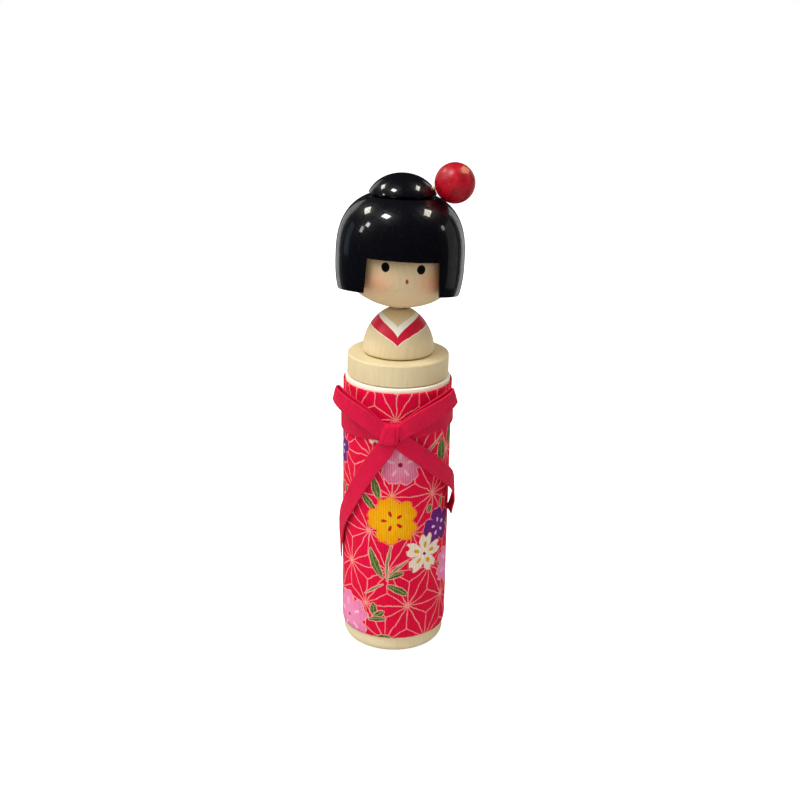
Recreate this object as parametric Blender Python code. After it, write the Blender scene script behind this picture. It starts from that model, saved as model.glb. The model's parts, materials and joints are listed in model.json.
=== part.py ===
"""A kokeshi doll that opens as a small box.

A turned wooden cup wears a wrapped kimono tied with a ribbon. A lid with a spigot closes the cup
and carries the bust. The head turns on a neck peg and wears a hair shell, a bun and a bead.

Metres, +Z up. The origin is the middle of the cup's underside, and the doll faces -Y.
"""

import math

import bmesh
import bpy
from mathutils import Vector

MM = 0.001

# Clearance between two pieces that touch, and the number of flats on a turned piece
FIT_GAP = 0.3 * MM
BODY_FLATS = 48
BUN_FLATS = 36
BEAD_FLATS = 24
PEG_FLATS = 16

# Cup: the hollow body
CUP_RADIUS = 18.5 * MM
CUP_HEIGHT = 102.3 * MM
CUP_WALL = 3.8 * MM
CUP_FLOOR = 6.0 * MM
FOOT_ROUND = 3.2 * MM
RIM_ROUND = 0.5 * MM
BORE_CORNER = 2.0 * MM

# Kimono: the cloth wrapped round the cup
CLOTH_THICKNESS = 0.45 * MM
HEM_HEIGHT = 6.6 * MM
BARE_RIM = 1.5 * MM

# Lid: a flange on the cup's rim, with a spigot in its bore
LID_INSET = 0.6 * MM
LID_THICKNESS = 7.75 * MM
LID_ROUND = 0.6 * MM
SPIGOT_LENGTH = 11.0 * MM
SPIGOT_CHAMFER = 1.0 * MM

# Bust: shoulders that rise to a narrow neck
BUST_RADIUS = 12.7 * MM
BUST_SPAN = 16.3 * MM
BUST_POWER_UP = 2.0
BUST_POWER_OUT = 1.75
BUST_ROUND = 0.9 * MM
NECK_RADIUS = 3.6 * MM

# Pegs, each glued in a blind hole at either end
BUST_PEG_RADIUS = 3.0 * MM
BUST_PEG_DEPTH = 5.0 * MM
NECK_PEG_RADIUS = 1.9 * MM
NECK_PEG_IN_BUST = 7.0 * MM
NECK_PEG_IN_HEAD = 8.0 * MM
BUN_PEG_RADIUS = 1.5 * MM
BUN_PEG_IN_BUN = 5.0 * MM
BUN_PEG_IN_HEAD = 5.0 * MM

# Pose of the head at rest: it leans to its left and back a little, and looks a little aside
NECK_SHIFT = -0.4 * MM
HEAD_BACK = math.radians(3.0)
HEAD_LEAN = math.radians(1.5)
HEAD_TURN = math.radians(3.2)

# Head: a flattened wooden ball, a superellipse in section
HEAD_RADIUS = 19.3 * MM
HEAD_LIFT = 0.6 * MM
HEAD_LOWER = 13.0 * MM
HEAD_UPPER = 21.8 * MM
HEAD_LOWER_POWER = 2.0
HEAD_UPPER_POWER = 2.3

# Hair shell: a lacquered cap over the head, cut open at the face
HAIR_WALL = 2.6 * MM
HAIR_SWEEP = 22.2 * MM
HAIR_UPPER = 22.8 * MM
HAIR_LOWER = 25.0 * MM
HAIR_POWER = 2.6
HAIR_CROWN_WALL = 2.9 * MM
HAIR_CROWN_DROP = 20.8 * MM
HAIR_HEM = 5.8 * MM
HAIR_HEM_RISE = math.radians(6.3)
HAIR_CUT_ROLL = math.radians(1.8)
FRINGE_HEIGHT = 19.5 * MM
FACE_HALF_WIDTH = 11.9 * MM
FACE_FLARE = math.radians(2.0)

# Bun on the crown
BUN_RADIUS = 12.3 * MM
BUN_DOME = 10.1 * MM
BUN_SUNK = 2.6 * MM
BUN_UNDERCUT = 0.8 * MM

# Bead on a pin in the bun's side, standing off the bun and the hair
BEAD_RADIUS = 6.9 * MM
BEAD_STANDOFF = 0.35 * MM
BEAD_AROUND = math.radians(-12.8)
PIN_SLOPE = math.radians(17.0)
PIN_RADIUS = 0.7 * MM
PIN_PAST_BEAD = 5.4 * MM
PIN_IN_BEAD = 7.5 * MM

# Ribbon: one length tied round the waist in a bow
RIBBON_WIDTH = 6.4 * MM
RIBBON_THICKNESS = 0.5 * MM
WAIST_BELOW_RIM = 14.7 * MM
WAIST_SLOPE = 0.08
KNOT_AROUND = -2.0 * MM
KNOT_WIDTH = 6.6 * MM
KNOT_THICKNESS = 2.4 * MM
KNOT_DROP = 4.6 * MM
KNOT_RISE = 2.9 * MM
KNOT_LEAN = 1.8 * MM
LOOP_PINCH = 0.55 * MM

# Heights and radii that follow from the sizes above
waist = CUP_HEIGHT - WAIST_BELOW_RIM
bore_radius = CUP_RADIUS - CUP_WALL
cloth_inner = CUP_RADIUS + FIT_GAP
cloth_outer = cloth_inner + CLOTH_THICKNESS
cloth_top = CUP_HEIGHT - BARE_RIM
lid_bottom = CUP_HEIGHT + FIT_GAP
lid_top = lid_bottom + LID_THICKNESS
lid_radius = CUP_RADIUS - LID_INSET
bust_bottom = lid_top + FIT_GAP
bust_height = BUST_SPAN * (1 - (NECK_RADIUS / BUST_RADIUS) ** BUST_POWER_OUT) ** (1 / BUST_POWER_UP)
head_middle = HEAD_LIFT + HEAD_LOWER
head_top = head_middle + HEAD_UPPER
crown_seat = head_top + FIT_GAP + HAIR_CROWN_WALL
hair_widest = crown_seat - HAIR_CROWN_DROP
hair_inner = HEAD_RADIUS + FIT_GAP
hair_radius = hair_inner + HAIR_WALL
bun_bottom = crown_seat + FIT_GAP
bun_middle = bun_bottom - BUN_SUNK


# ---------------------------------------------------------------- tools

def clear_scene():
    for old in list(bpy.data.objects):
        bpy.data.objects.remove(old, do_unlink=True)


def finish_of(name, colour, roughness, coat=0.0):
    material = bpy.data.materials.new(name)
    material.use_nodes = True
    shader = material.node_tree.nodes["Principled BSDF"]
    shader.inputs["Base Color"].default_value = (*colour, 1.0)
    shader.inputs["Roughness"].default_value = roughness
    shader.inputs["Metallic"].default_value = 0.0
    shader.inputs["Coat Weight"].default_value = coat
    return material


def add_piece(name, mesh, material, parent=None, place=(0.0, 0.0, 0.0), turn=(0.0, 0.0, 0.0)):
    piece = bpy.data.objects.new(name, mesh)
    bpy.context.scene.collection.objects.link(piece)
    piece.location = place
    piece.rotation_euler = turn
    piece.parent = parent
    mesh.materials.append(material)
    mesh.shade_smooth()
    mesh.set_sharp_from_angle(angle=math.radians(35))
    return piece


def add_cutter(name, mesh, parent=None, place=(0.0, 0.0, 0.0), turn=(0.0, 0.0, 0.0)):
    cutter = bpy.data.objects.new(name, mesh)
    bpy.context.scene.collection.objects.link(cutter)
    cutter.location = place
    cutter.rotation_euler = turn
    cutter.parent = parent
    cutter.hide_render = True
    cutter.display_type = "WIRE"
    return cutter


def cut(piece, cutter):
    boolean = piece.modifiers.new(cutter.name, "BOOLEAN")
    boolean.operation = "DIFFERENCE"
    boolean.solver = "EXACT"
    boolean.object = cutter


def turned_mesh(name, outline, flats, closed=False):
    """Turns (radius, height) points about Z. A closed outline makes a ring, an open one ends on the axis."""
    shape = bmesh.new()
    points = [shape.verts.new((radius, 0.0, height)) for radius, height in outline]
    following = points[1:] + points[:1] if closed else points[1:]
    edges = [shape.edges.new(pair) for pair in zip(points, following)]
    bmesh.ops.spin(
        shape, geom=points + edges, cent=(0, 0, 0), axis=(0, 0, 1),
        angle=math.tau, steps=flats, use_merge=True,
    )
    bmesh.ops.remove_doubles(shape, verts=shape.verts, dist=0.001 * MM)
    bmesh.ops.recalc_face_normals(shape, faces=shape.faces)
    mesh = bpy.data.meshes.new(name)
    shape.to_mesh(mesh)
    shape.free()
    return mesh


def box_mesh(name, low, high, flare=0.0, roll=0.0):
    """A box whose sides may flare out downwards from its top, and whose top may roll down towards +X."""
    shape = bmesh.new()
    bmesh.ops.create_cube(shape, size=1.0)
    for vertex in shape.verts:
        for axis in range(3):
            vertex.co[axis] = high[axis] if vertex.co[axis] > 0 else low[axis]
        vertex.co.x += math.copysign((high[2] - vertex.co.z) * math.tan(flare), vertex.co.x)
        vertex.co.z -= vertex.co.x * math.tan(roll)
    mesh = bpy.data.meshes.new(name)
    shape.to_mesh(mesh)
    shape.free()
    return mesh


def rod_outline(radius, bottom, top):
    return [(0.0, bottom), (radius, bottom), (radius, top), (0.0, top)]


def rounded(centre_radius, centre_height, size, start, end, steps=3):
    """Points of an arc, with angles in degrees from the outward horizontal."""
    angles = [math.radians(start + (end - start) * step / steps) for step in range(steps + 1)]
    return [
        (centre_radius + size * math.cos(angle), centre_height + size * math.sin(angle))
        for angle in angles
    ]


def bulge(radius, middle, rise, power, start, end, steps):
    """Points of a superellipse from the sine start to the sine end of its rise above the middle."""
    first = math.asin(start)
    last = math.asin(end)
    points = []
    for step in range(steps + 1):
        share = math.sin(first + (last - first) * step / steps)
        reach = max(0.0, 1.0 - abs(share) ** power) ** (1.0 / power)
        points.append((radius * reach, middle + rise * share))
    return points


# ---------------------------------------------------------------- body

def make_cup(material):
    outline = [(0.0, 0.0)]
    outline += rounded(CUP_RADIUS - FOOT_ROUND, FOOT_ROUND, FOOT_ROUND, -90, 0, 6)
    outline += rounded(CUP_RADIUS - RIM_ROUND, CUP_HEIGHT - RIM_ROUND, RIM_ROUND, 0, 90, 2)
    outline += [(bore_radius, CUP_HEIGHT)]
    outline += rounded(bore_radius - BORE_CORNER, CUP_FLOOR + BORE_CORNER, BORE_CORNER, 0, -90, 3)
    outline += [(0.0, CUP_FLOOR)]
    return add_piece("body_cup", turned_mesh("body_cup", outline, BODY_FLATS), material)


def make_kimono(material):
    outline = [
        (cloth_outer, cloth_top), (cloth_inner, cloth_top),
        (cloth_inner, HEM_HEIGHT), (cloth_outer, HEM_HEIGHT),
    ]
    mesh = turned_mesh("kimono_wrap", outline, BODY_FLATS, closed=True)
    return add_piece("kimono_wrap", mesh, material)


# ---------------------------------------------------------------- lid and bust

def make_lid(material):
    """The lid's own zero height is the face that rests on the cup's rim."""
    spigot_radius = bore_radius - FIT_GAP
    hole_radius = BUST_PEG_RADIUS + FIT_GAP
    hole_floor = LID_THICKNESS - BUST_PEG_DEPTH - FIT_GAP
    outline = [(0.0, -SPIGOT_LENGTH), (spigot_radius - SPIGOT_CHAMFER, -SPIGOT_LENGTH)]
    outline += [(spigot_radius, -SPIGOT_LENGTH + SPIGOT_CHAMFER), (spigot_radius, 0.0)]
    outline += [(lid_radius, 0.0)]
    outline += rounded(lid_radius - LID_ROUND, LID_THICKNESS - LID_ROUND, LID_ROUND, 0, 90, 2)
    outline += [(hole_radius, LID_THICKNESS), (hole_radius, hole_floor), (0.0, hole_floor)]
    mesh = turned_mesh("lid_plug", outline, BODY_FLATS)
    return add_piece("lid_plug", mesh, material, place=(0, 0, lid_bottom))


def bust_reach(height):
    share = min(1.0, height / BUST_SPAN)
    return BUST_RADIUS * (1 - share ** BUST_POWER_UP) ** (1 / BUST_POWER_OUT)


def make_bust(material, pivot):
    hole_radius = BUST_PEG_RADIUS + FIT_GAP
    hole_top = BUST_PEG_DEPTH + FIT_GAP
    steps = 9
    shoulder = []
    for step in range(1, steps + 1):
        height = bust_height * math.sin(math.pi / 2 * step / steps)
        shoulder.append((bust_reach(height), height))
    outline = [(0.0, hole_top), (hole_radius, hole_top), (hole_radius, 0.0)]
    outline += rounded(BUST_RADIUS - BUST_ROUND, BUST_ROUND, BUST_ROUND, -90, 0, 2)
    outline += shoulder + [(0.0, bust_height)]
    mesh = turned_mesh("bust", outline, BODY_FLATS)
    bust = add_piece("bust", mesh, material, place=(0, 0, bust_bottom))
    socket = rod_outline(NECK_PEG_RADIUS + FIT_GAP, -NECK_PEG_IN_BUST - FIT_GAP, HEAD_LIFT + FIT_GAP)
    cut(bust, add_cutter("neck_socket", turned_mesh("neck_socket", socket, PEG_FLATS), pivot))
    return bust


def make_bust_peg(material):
    low = -BUST_PEG_DEPTH
    high = FIT_GAP + BUST_PEG_DEPTH
    mesh = turned_mesh("bust_peg", rod_outline(BUST_PEG_RADIUS, low, high), PEG_FLATS)
    return add_piece("bust_peg", mesh, material, place=(0, 0, lid_top))


def make_neck_peg(material, pivot):
    outline = rod_outline(NECK_PEG_RADIUS, -NECK_PEG_IN_BUST, HEAD_LIFT + NECK_PEG_IN_HEAD)
    return add_piece("neck_peg", turned_mesh("neck_peg", outline, PEG_FLATS), material, pivot)


# ---------------------------------------------------------------- head, in the neck pivot's frame

def make_head(material, pivot):
    """A flat under the chin and a flat on the crown, each with a blind hole for its peg."""
    chin_hole = NECK_PEG_RADIUS + FIT_GAP
    chin_floor = HEAD_LIFT + NECK_PEG_IN_HEAD + FIT_GAP
    crown_hole = BUN_PEG_RADIUS + FIT_GAP
    crown_floor = head_top - BUN_PEG_IN_HEAD - FIT_GAP
    lower = bulge(HEAD_RADIUS, head_middle, HEAD_LOWER, HEAD_LOWER_POWER, -0.99, 0.0, 8)
    upper = bulge(HEAD_RADIUS, head_middle, HEAD_UPPER, HEAD_UPPER_POWER, 0.0, 0.985, 7)
    outline = [(0.0, chin_floor), (chin_hole, chin_floor), (chin_hole, HEAD_LIFT)]
    outline += lower + upper[1:]
    outline += [(crown_hole, head_top), (crown_hole, crown_floor), (0.0, crown_floor)]
    return add_piece("head", turned_mesh("head", outline, BODY_FLATS), material, pivot)


def make_hair_shell(material, pivot):
    """The hollow follows the head down to its widest place, and goes straight down from there.
    Below its own widest place the outside draws in along an ellipse of half-width HAIR_SWEEP."""
    hem_low = HAIR_HEM - hair_radius * math.tan(HAIR_HEM_RISE) - FIT_GAP
    lowest = (hem_low - hair_widest) / HAIR_LOWER
    highest = (crown_seat - hair_widest) / HAIR_UPPER
    sweep = bulge(HAIR_SWEEP, hair_widest, HAIR_LOWER, HAIR_POWER, lowest, 0.0, 4)
    outside = [(hair_radius - HAIR_SWEEP + radius, height) for radius, height in sweep]
    outside += bulge(hair_radius, hair_widest, HAIR_UPPER, HAIR_POWER, 0.0, highest, 8)[1:]
    hole = BUN_PEG_RADIUS + FIT_GAP
    inside = bulge(hair_inner, head_middle, HEAD_UPPER + FIT_GAP, HEAD_UPPER_POWER, 0.0, 0.985, 7)
    outline = outside + [(hole, crown_seat), (hole, head_top + FIT_GAP)]
    outline += inside[::-1] + [(hair_inner, hem_low)]
    mesh = turned_mesh("hair_shell", outline, BODY_FLATS, closed=True)
    shell = add_piece("hair_shell", mesh, material, pivot)
    reach = 2 * hair_radius
    below_hem = box_mesh("hem_cut", (-reach, -reach, -reach), (reach, reach, 0.0))
    face_low = (-FACE_HALF_WIDTH, -reach, -reach)
    face_high = (FACE_HALF_WIDTH, -HEAD_RADIUS / 3, 0.0)
    face = box_mesh("face_cut", face_low, face_high, FACE_FLARE, HAIR_CUT_ROLL)
    hem_turn = (-HAIR_HEM_RISE, HAIR_CUT_ROLL, 0.0)
    cut(shell, add_cutter("hem_cut", below_hem, pivot, (0, 0, HAIR_HEM), hem_turn))
    cut(shell, add_cutter("face_cut", face, pivot, (0, 0, FRINGE_HEIGHT)))
    return shell


def bun_surface(angle):
    return BUN_RADIUS * math.cos(angle), bun_middle + BUN_DOME * math.sin(angle)


def bead_beside(above):
    """Radius and height of the bead's middle, standing off the bun along its outward normal."""
    slope = math.atan2(BUN_DOME * math.sin(above), BUN_RADIUS * math.cos(above))
    radius, height = bun_surface(slope)
    reach = BEAD_RADIUS + BEAD_STANDOFF
    return radius + reach * math.cos(above), height + reach * math.sin(above)


def gap_to_hair(radius, height):
    """The least distance between the bead and the hair's outside in section."""
    highest = (crown_seat - hair_widest) / HAIR_UPPER
    outside = bulge(hair_radius, hair_widest, HAIR_UPPER, HAIR_POWER, 0.0, highest, 60)
    return min(math.hypot(radius - reach, height - rise) for reach, rise in outside) - BEAD_RADIUS


def bead_place():
    """The bead nests between the bun and the hair, and stands off both.

    Returns its middle and the turn that lays its Z along its pin, outwards.
    """
    low = 0.0
    high = math.pi / 2
    for _ in range(30):
        above = (low + high) / 2
        if gap_to_hair(*bead_beside(above)) < BEAD_STANDOFF:
            low = above
        else:
            high = above
    radius, height = bead_beside(high)
    outward = Vector((
        math.cos(BEAD_AROUND) * math.cos(PIN_SLOPE),
        math.sin(BEAD_AROUND) * math.cos(PIN_SLOPE),
        math.sin(PIN_SLOPE),
    ))
    middle = Vector((radius * math.cos(BEAD_AROUND), radius * math.sin(BEAD_AROUND), height))
    return middle, outward.to_track_quat("Z", "X").to_euler()


def make_bun(material, pivot):
    hole_radius = BUN_PEG_RADIUS + FIT_GAP
    hole_top = bun_bottom + BUN_PEG_IN_BUN + FIT_GAP
    edge = (bun_bottom + BUN_UNDERCUT - bun_middle) / BUN_DOME
    dome = bulge(BUN_RADIUS, bun_middle, BUN_DOME, 2.0, edge, 1.0, 9)
    outline = [(0.0, hole_top), (hole_radius, hole_top), (hole_radius, bun_bottom)]
    outline += [(dome[0][0] - BUN_UNDERCUT, bun_bottom)] + dome[:-1] + [(0.0, bun_middle + BUN_DOME)]
    bun = add_piece("hair_bun", turned_mesh("hair_bun", outline, BUN_FLATS), material, pivot)
    middle, turn = bead_place()
    socket = rod_outline(PIN_RADIUS + FIT_GAP, -BEAD_RADIUS - PIN_PAST_BEAD - FIT_GAP, -BEAD_RADIUS / 2)
    cut(bun, add_cutter("pin_socket", turned_mesh("pin_socket", socket, PEG_FLATS), pivot, middle, turn))
    return bun


def make_bun_peg(material, pivot):
    outline = rod_outline(BUN_PEG_RADIUS, head_top - BUN_PEG_IN_HEAD, bun_bottom + BUN_PEG_IN_BUN)
    return add_piece("bun_peg", turned_mesh("bun_peg", outline, PEG_FLATS), material, pivot)


def make_bead(material, pivot):
    """The bead's own Z is its pin's line, and its blind hole opens downwards."""
    hole = PIN_RADIUS + FIT_GAP
    hole_floor = -BEAD_RADIUS + PIN_IN_BEAD + FIT_GAP
    lowest = -math.sqrt(1 - (hole / BEAD_RADIUS) ** 2)
    ball = bulge(BEAD_RADIUS, 0.0, BEAD_RADIUS, 2.0, lowest, 1.0, 11)
    outline = [(0.0, hole_floor), (hole, hole_floor)] + ball[:-1] + [(0.0, BEAD_RADIUS)]
    middle, turn = bead_place()
    mesh = turned_mesh("hair_bead", outline, BEAD_FLATS)
    return add_piece("hair_bead", mesh, material, pivot, middle, turn)


def make_bead_pin(material, pivot):
    middle, turn = bead_place()
    outline = rod_outline(PIN_RADIUS, -BEAD_RADIUS - PIN_PAST_BEAD, -BEAD_RADIUS + PIN_IN_BEAD)
    return add_piece("bead_pin", turned_mesh("bead_pin", outline, PEG_FLATS), material, pivot, middle, turn)


# ---------------------------------------------------------------- ribbon, laid out round the body

# The layers that lie on each other, as radii of their middle surfaces
band_radius = cloth_outer + FIT_GAP + RIBBON_THICKNESS / 2
over_band = band_radius + RIBBON_THICKNESS + FIT_GAP
knot_radius = band_radius + RIBBON_THICKNESS / 2 + FIT_GAP + KNOT_THICKNESS / 2


def laid(around, height, outward=0.0):
    """A route point: its way round the body from the front, its height above the waist, and how far
    it stands out from a strip that lies over the band."""
    return Vector((around, waist + height, over_band + outward))


def on_body(point):
    """The place in space of a route point."""
    angle = point.x / over_band
    return Vector((point.z * math.sin(angle), -point.z * math.cos(angle), point.y))


def smooth_route(points, steps):
    """Catmull-Rom curve through the points, with equal steps between them."""
    ends = [2 * points[0] - points[1]] + points + [2 * points[-1] - points[-2]]
    route = []
    for index in range(1, len(ends) - 2):
        before, start, end, after = ends[index - 1:index + 3]
        for step in range(steps):
            t = step / steps
            straight = 2 * start + (end - before) * t
            bend = (2 * before - 5 * start + 4 * end - after) * t ** 2
            twist = (3 * start - before - 3 * end + after) * t ** 3
            route.append(0.5 * (straight + bend + twist))
    return route + [points[-1]]


def sideways(route):
    """The width direction of a strip that lies flat along its route."""
    found = []
    for index in range(len(route)):
        ahead = route[min(index + 1, len(route) - 1)] - route[max(index - 1, 0)]
        found.append(Vector((-ahead.y, ahead.x, 0.0)))
    return found


def strip_mesh(name, route, sides, width, thickness, columns=2):
    """A flat strip along a route, bent round the body, with its width direction given at each point."""
    shape = bmesh.new()
    rows = []
    for index, middle in enumerate(route):
        ahead = route[min(index + 1, len(route) - 1)] - route[max(index - 1, 0)]
        side = sides[index].normalized()
        out = ahead.cross(side).normalized() * thickness / 2
        shifts = [side * width * (column / columns - 0.5) for column in range(columns + 1)]
        under = [shape.verts.new(on_body(middle + shift - out)) for shift in shifts]
        over = [shape.verts.new(on_body(middle + shift + out)) for shift in reversed(shifts)]
        rows.append(under + over)
    size = len(rows[0])
    for first, second in zip(rows, rows[1:]):
        for index in range(size):
            following = (index + 1) % size
            shape.faces.new((first[index], first[following], second[following], second[index]))
    for end in (rows[0], rows[-1]):
        for column in range(columns):
            shape.faces.new((end[column], end[column + 1], end[-column - 2], end[-column - 1]))
    bmesh.ops.recalc_face_normals(shape, faces=shape.faces)
    mesh = bpy.data.meshes.new(name)
    shape.to_mesh(mesh)
    shape.free()
    return mesh


def make_band(material):
    """A ring round the waist that dips towards the doll's right side."""
    low = band_radius - RIBBON_THICKNESS / 2
    high = band_radius + RIBBON_THICKNESS / 2
    half = RIBBON_WIDTH / 2
    outline = [(high, half), (low, half), (low, -half), (high, -half)]
    mesh = turned_mesh("ribbon_band", outline, BODY_FLATS, closed=True)
    for vertex in mesh.vertices:
        vertex.co.z += WAIST_SLOPE * vertex.co.x
    return add_piece("ribbon_band", mesh, material, place=(0, 0, waist))


def make_knot(material):
    """The wrap over the crossing, a thick pad that leans with the tails."""
    out = knot_radius - over_band
    route = smooth_route([
        laid(KNOT_AROUND - KNOT_LEAN / 2, -KNOT_DROP, out),
        laid(KNOT_AROUND, (KNOT_RISE - KNOT_DROP) / 2, out),
        laid(KNOT_AROUND + KNOT_LEAN / 2, KNOT_RISE, out),
    ], 3)
    mesh = strip_mesh("ribbon_knot", route, sideways(route), KNOT_WIDTH, KNOT_THICKNESS)
    return add_piece("ribbon_knot", mesh, material)


def make_loop(name, material, start, end, lift, opening):
    """A flattened loop: out along the body, round its far fold, and back over itself to the knot.

    lift is how far the fold stands off the body, and opening is the widest gap inside.
    """
    along = end - start
    side = Vector((-along.y, along.x, 0.0))
    steps = 9
    back = []
    front = []
    for step in range(steps + 1):
        share = step / steps
        widen = math.sin(math.pi / 2 * min(share / 0.85, 1.0)) ** 1.5
        close = 1 - 0.5 * max(0.0, (share - 0.6) / 0.4) ** 2
        spread = (LOOP_PINCH + (opening - LOOP_PINCH) * widen) * close
        under = start + along * share + Vector((0, 0, lift * share ** 1.5))
        back.append(under)
        front.append(under + Vector((0, 0, RIBBON_THICKNESS + spread)))
    rise = (front[-1] - back[-1]) / 2
    centre = (front[-1] + back[-1]) / 2
    fold = []
    for step in range(1, 6):
        angle = math.pi * step / 6
        fold.append(centre - rise * math.cos(angle) + along.normalized() * opening / 4 * math.sin(angle))
    route = back + fold + front[::-1]
    mesh = strip_mesh(name, route, [side] * len(route), RIBBON_WIDTH, RIBBON_THICKNESS, 1)
    return add_piece(name, mesh, material)


def make_tail(name, material, stops):
    route = smooth_route(stops, 3)
    mesh = strip_mesh(name, route, sideways(route), RIBBON_WIDTH, RIBBON_THICKNESS)
    return add_piece(name, mesh, material)


def make_ribbon(material):
    """The loops and tails start clear of the leaning knot, by a share of the ribbon's width at the tails."""
    knot_left = KNOT_AROUND - KNOT_WIDTH / 2
    knot_right = KNOT_AROUND + KNOT_WIDTH / 2
    tail_clear = RIBBON_WIDTH / 2
    make_band(material)
    make_knot(material)
    left_start = laid(knot_left - 1.3 * MM, 0.6 * MM)
    right_start = laid(knot_right + 2.7 * MM, 1.2 * MM)
    left_end = left_start + Vector((-17.3 * MM, 9.4 * MM, 0.0))
    right_end = right_start + Vector((17.6 * MM, 9.2 * MM, 0.0))
    make_loop("ribbon_loop_left", material, left_start, left_end, 1.8 * MM, 3.2 * MM)
    make_loop("ribbon_loop_right", material, right_start, right_end, 1.2 * MM, 3.0 * MM)
    left_tail = laid(knot_left + 0.1 * MM, -KNOT_DROP - tail_clear - 0.2 * MM)
    right_tail = laid(knot_right + tail_clear, -KNOT_DROP - 1.0 * MM)
    left_drops = [
        (0.0, 0.0, 0.0), (-5.5, -8.0, 0.0), (-13.3, -21.0, 0.0), (-20.1, -32.0, 0.0), (-25.5, -46.0, -0.5),
    ]
    right_drops = [
        (0.0, 0.0, 0.0), (5.5, -4.6, 0.1), (12.6, -10.4, 0.2), (19.8, -16.9, 0.8), (25.5, -23.9, 1.0),
        (27.2, -30.4, 0.2),
    ]
    make_tail("ribbon_tail_left", material, [left_tail + Vector(drop) * MM for drop in left_drops])
    make_tail("ribbon_tail_right", material, [right_tail + Vector(drop) * MM for drop in right_drops])


# ---------------------------------------------------------------- the whole doll

def make_pivot():
    """An empty on the neck's axis, where the bust's top meets the head."""
    pivot = bpy.data.objects.new("neck_pivot", None)
    bpy.context.scene.collection.objects.link(pivot)
    pivot.location = (NECK_SHIFT, 0.0, bust_bottom + bust_height)
    pivot.rotation_euler = (-HEAD_BACK, HEAD_LEAN, HEAD_TURN)
    return pivot


def main():
    clear_scene()
    pale_wood = finish_of("pale_wood", (0.72, 0.60, 0.42), 0.55)
    red_cloth = finish_of("red_cloth", (0.60, 0.01, 0.04), 0.85)
    red_ribbon = finish_of("red_ribbon", (0.58, 0.01, 0.05), 0.6)
    black_lacquer = finish_of("black_lacquer", (0.01, 0.01, 0.014), 0.18, 0.6)
    red_lacquer = finish_of("red_lacquer", (0.62, 0.02, 0.02), 0.4, 0.2)
    pivot = make_pivot()
    make_cup(pale_wood)
    make_kimono(red_cloth)
    make_lid(pale_wood)
    make_bust(pale_wood, pivot)
    make_bust_peg(pale_wood)
    make_neck_peg(pale_wood, pivot)
    make_head(pale_wood, pivot)
    make_hair_shell(black_lacquer, pivot)
    make_bun(black_lacquer, pivot)
    make_bun_peg(pale_wood, pivot)
    make_bead(red_lacquer, pivot)
    make_bead_pin(pale_wood, pivot)
    make_ribbon(red_ribbon)


main()
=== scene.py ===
"""Looks for a kokeshi doll that opens as a small box.

Turned pale wood, a painted face and collar, black lacquered hair with a red bead, a printed cotton
kimono wrapped round the cup, and a ribbon tied over it in a bow.

Metres, +Z up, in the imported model's own frame. The doll faces -Y.
"""

import json
import math

import bmesh
import bpy
from mathutils import Euler, Matrix, Vector, noise


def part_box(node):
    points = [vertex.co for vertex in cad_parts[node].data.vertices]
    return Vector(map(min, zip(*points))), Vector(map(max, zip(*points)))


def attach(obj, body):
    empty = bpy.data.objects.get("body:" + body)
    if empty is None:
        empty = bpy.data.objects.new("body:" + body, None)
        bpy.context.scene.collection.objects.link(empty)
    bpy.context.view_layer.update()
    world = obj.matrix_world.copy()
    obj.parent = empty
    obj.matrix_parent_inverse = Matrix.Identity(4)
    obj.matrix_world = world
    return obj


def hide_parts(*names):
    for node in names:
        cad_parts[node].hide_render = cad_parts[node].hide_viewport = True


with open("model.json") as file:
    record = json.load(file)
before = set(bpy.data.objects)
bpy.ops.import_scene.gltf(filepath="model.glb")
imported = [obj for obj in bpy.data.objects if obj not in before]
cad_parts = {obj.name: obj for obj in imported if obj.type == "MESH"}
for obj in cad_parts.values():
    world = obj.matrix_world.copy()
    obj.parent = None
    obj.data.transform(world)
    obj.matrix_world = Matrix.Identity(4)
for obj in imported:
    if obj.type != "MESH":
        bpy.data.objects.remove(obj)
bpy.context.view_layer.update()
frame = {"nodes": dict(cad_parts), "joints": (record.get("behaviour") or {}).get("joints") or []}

MM = 0.001

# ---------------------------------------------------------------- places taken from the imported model

cup_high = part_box("body_cup")[1]
cloth_low, cloth_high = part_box("kimono_wrap")
lid_low, lid_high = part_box("lid_plug")
bust_low, bust_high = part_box("bust")
band_low, band_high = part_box("ribbon_band")
neck = next(joint for joint in frame["joints"] if joint["name"] == "head_turn")

cup_radius = cup_high.x
cup_top = cup_high.z
cloth_radius = cloth_high.x
waist = (band_low.z + band_high.z) / 2

# ---------------------------------------------------------------- sizes

SIDES = 160

# Cup and lid
CUP_WALL = 3.8 * MM
CUP_FLOOR = 6.0 * MM
FOOT_ROUND = 3.2 * MM
RIM_ROUND = 0.45 * MM
BORE_CORNER = 2.0 * MM
LID_INSET = 0.6 * MM
LID_ROUND = 0.7 * MM
SPIGOT_GAP = 0.3 * MM
SPIGOT_CHAMFER = 1.0 * MM
PEG_HOLE = 3.3 * MM
PEG_HOLE_DEPTH = 5.3 * MM

# Bust
BUST_RADIUS = 12.7 * MM
BUST_SPAN = 16.3 * MM
BUST_POWER_UP = 2.0
BUST_POWER_OUT = 1.75
BUST_ROUND = 0.9 * MM
NECK_SOCKET = 2.2 * MM
NECK_SOCKET_DEPTH = 7.3 * MM

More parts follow.
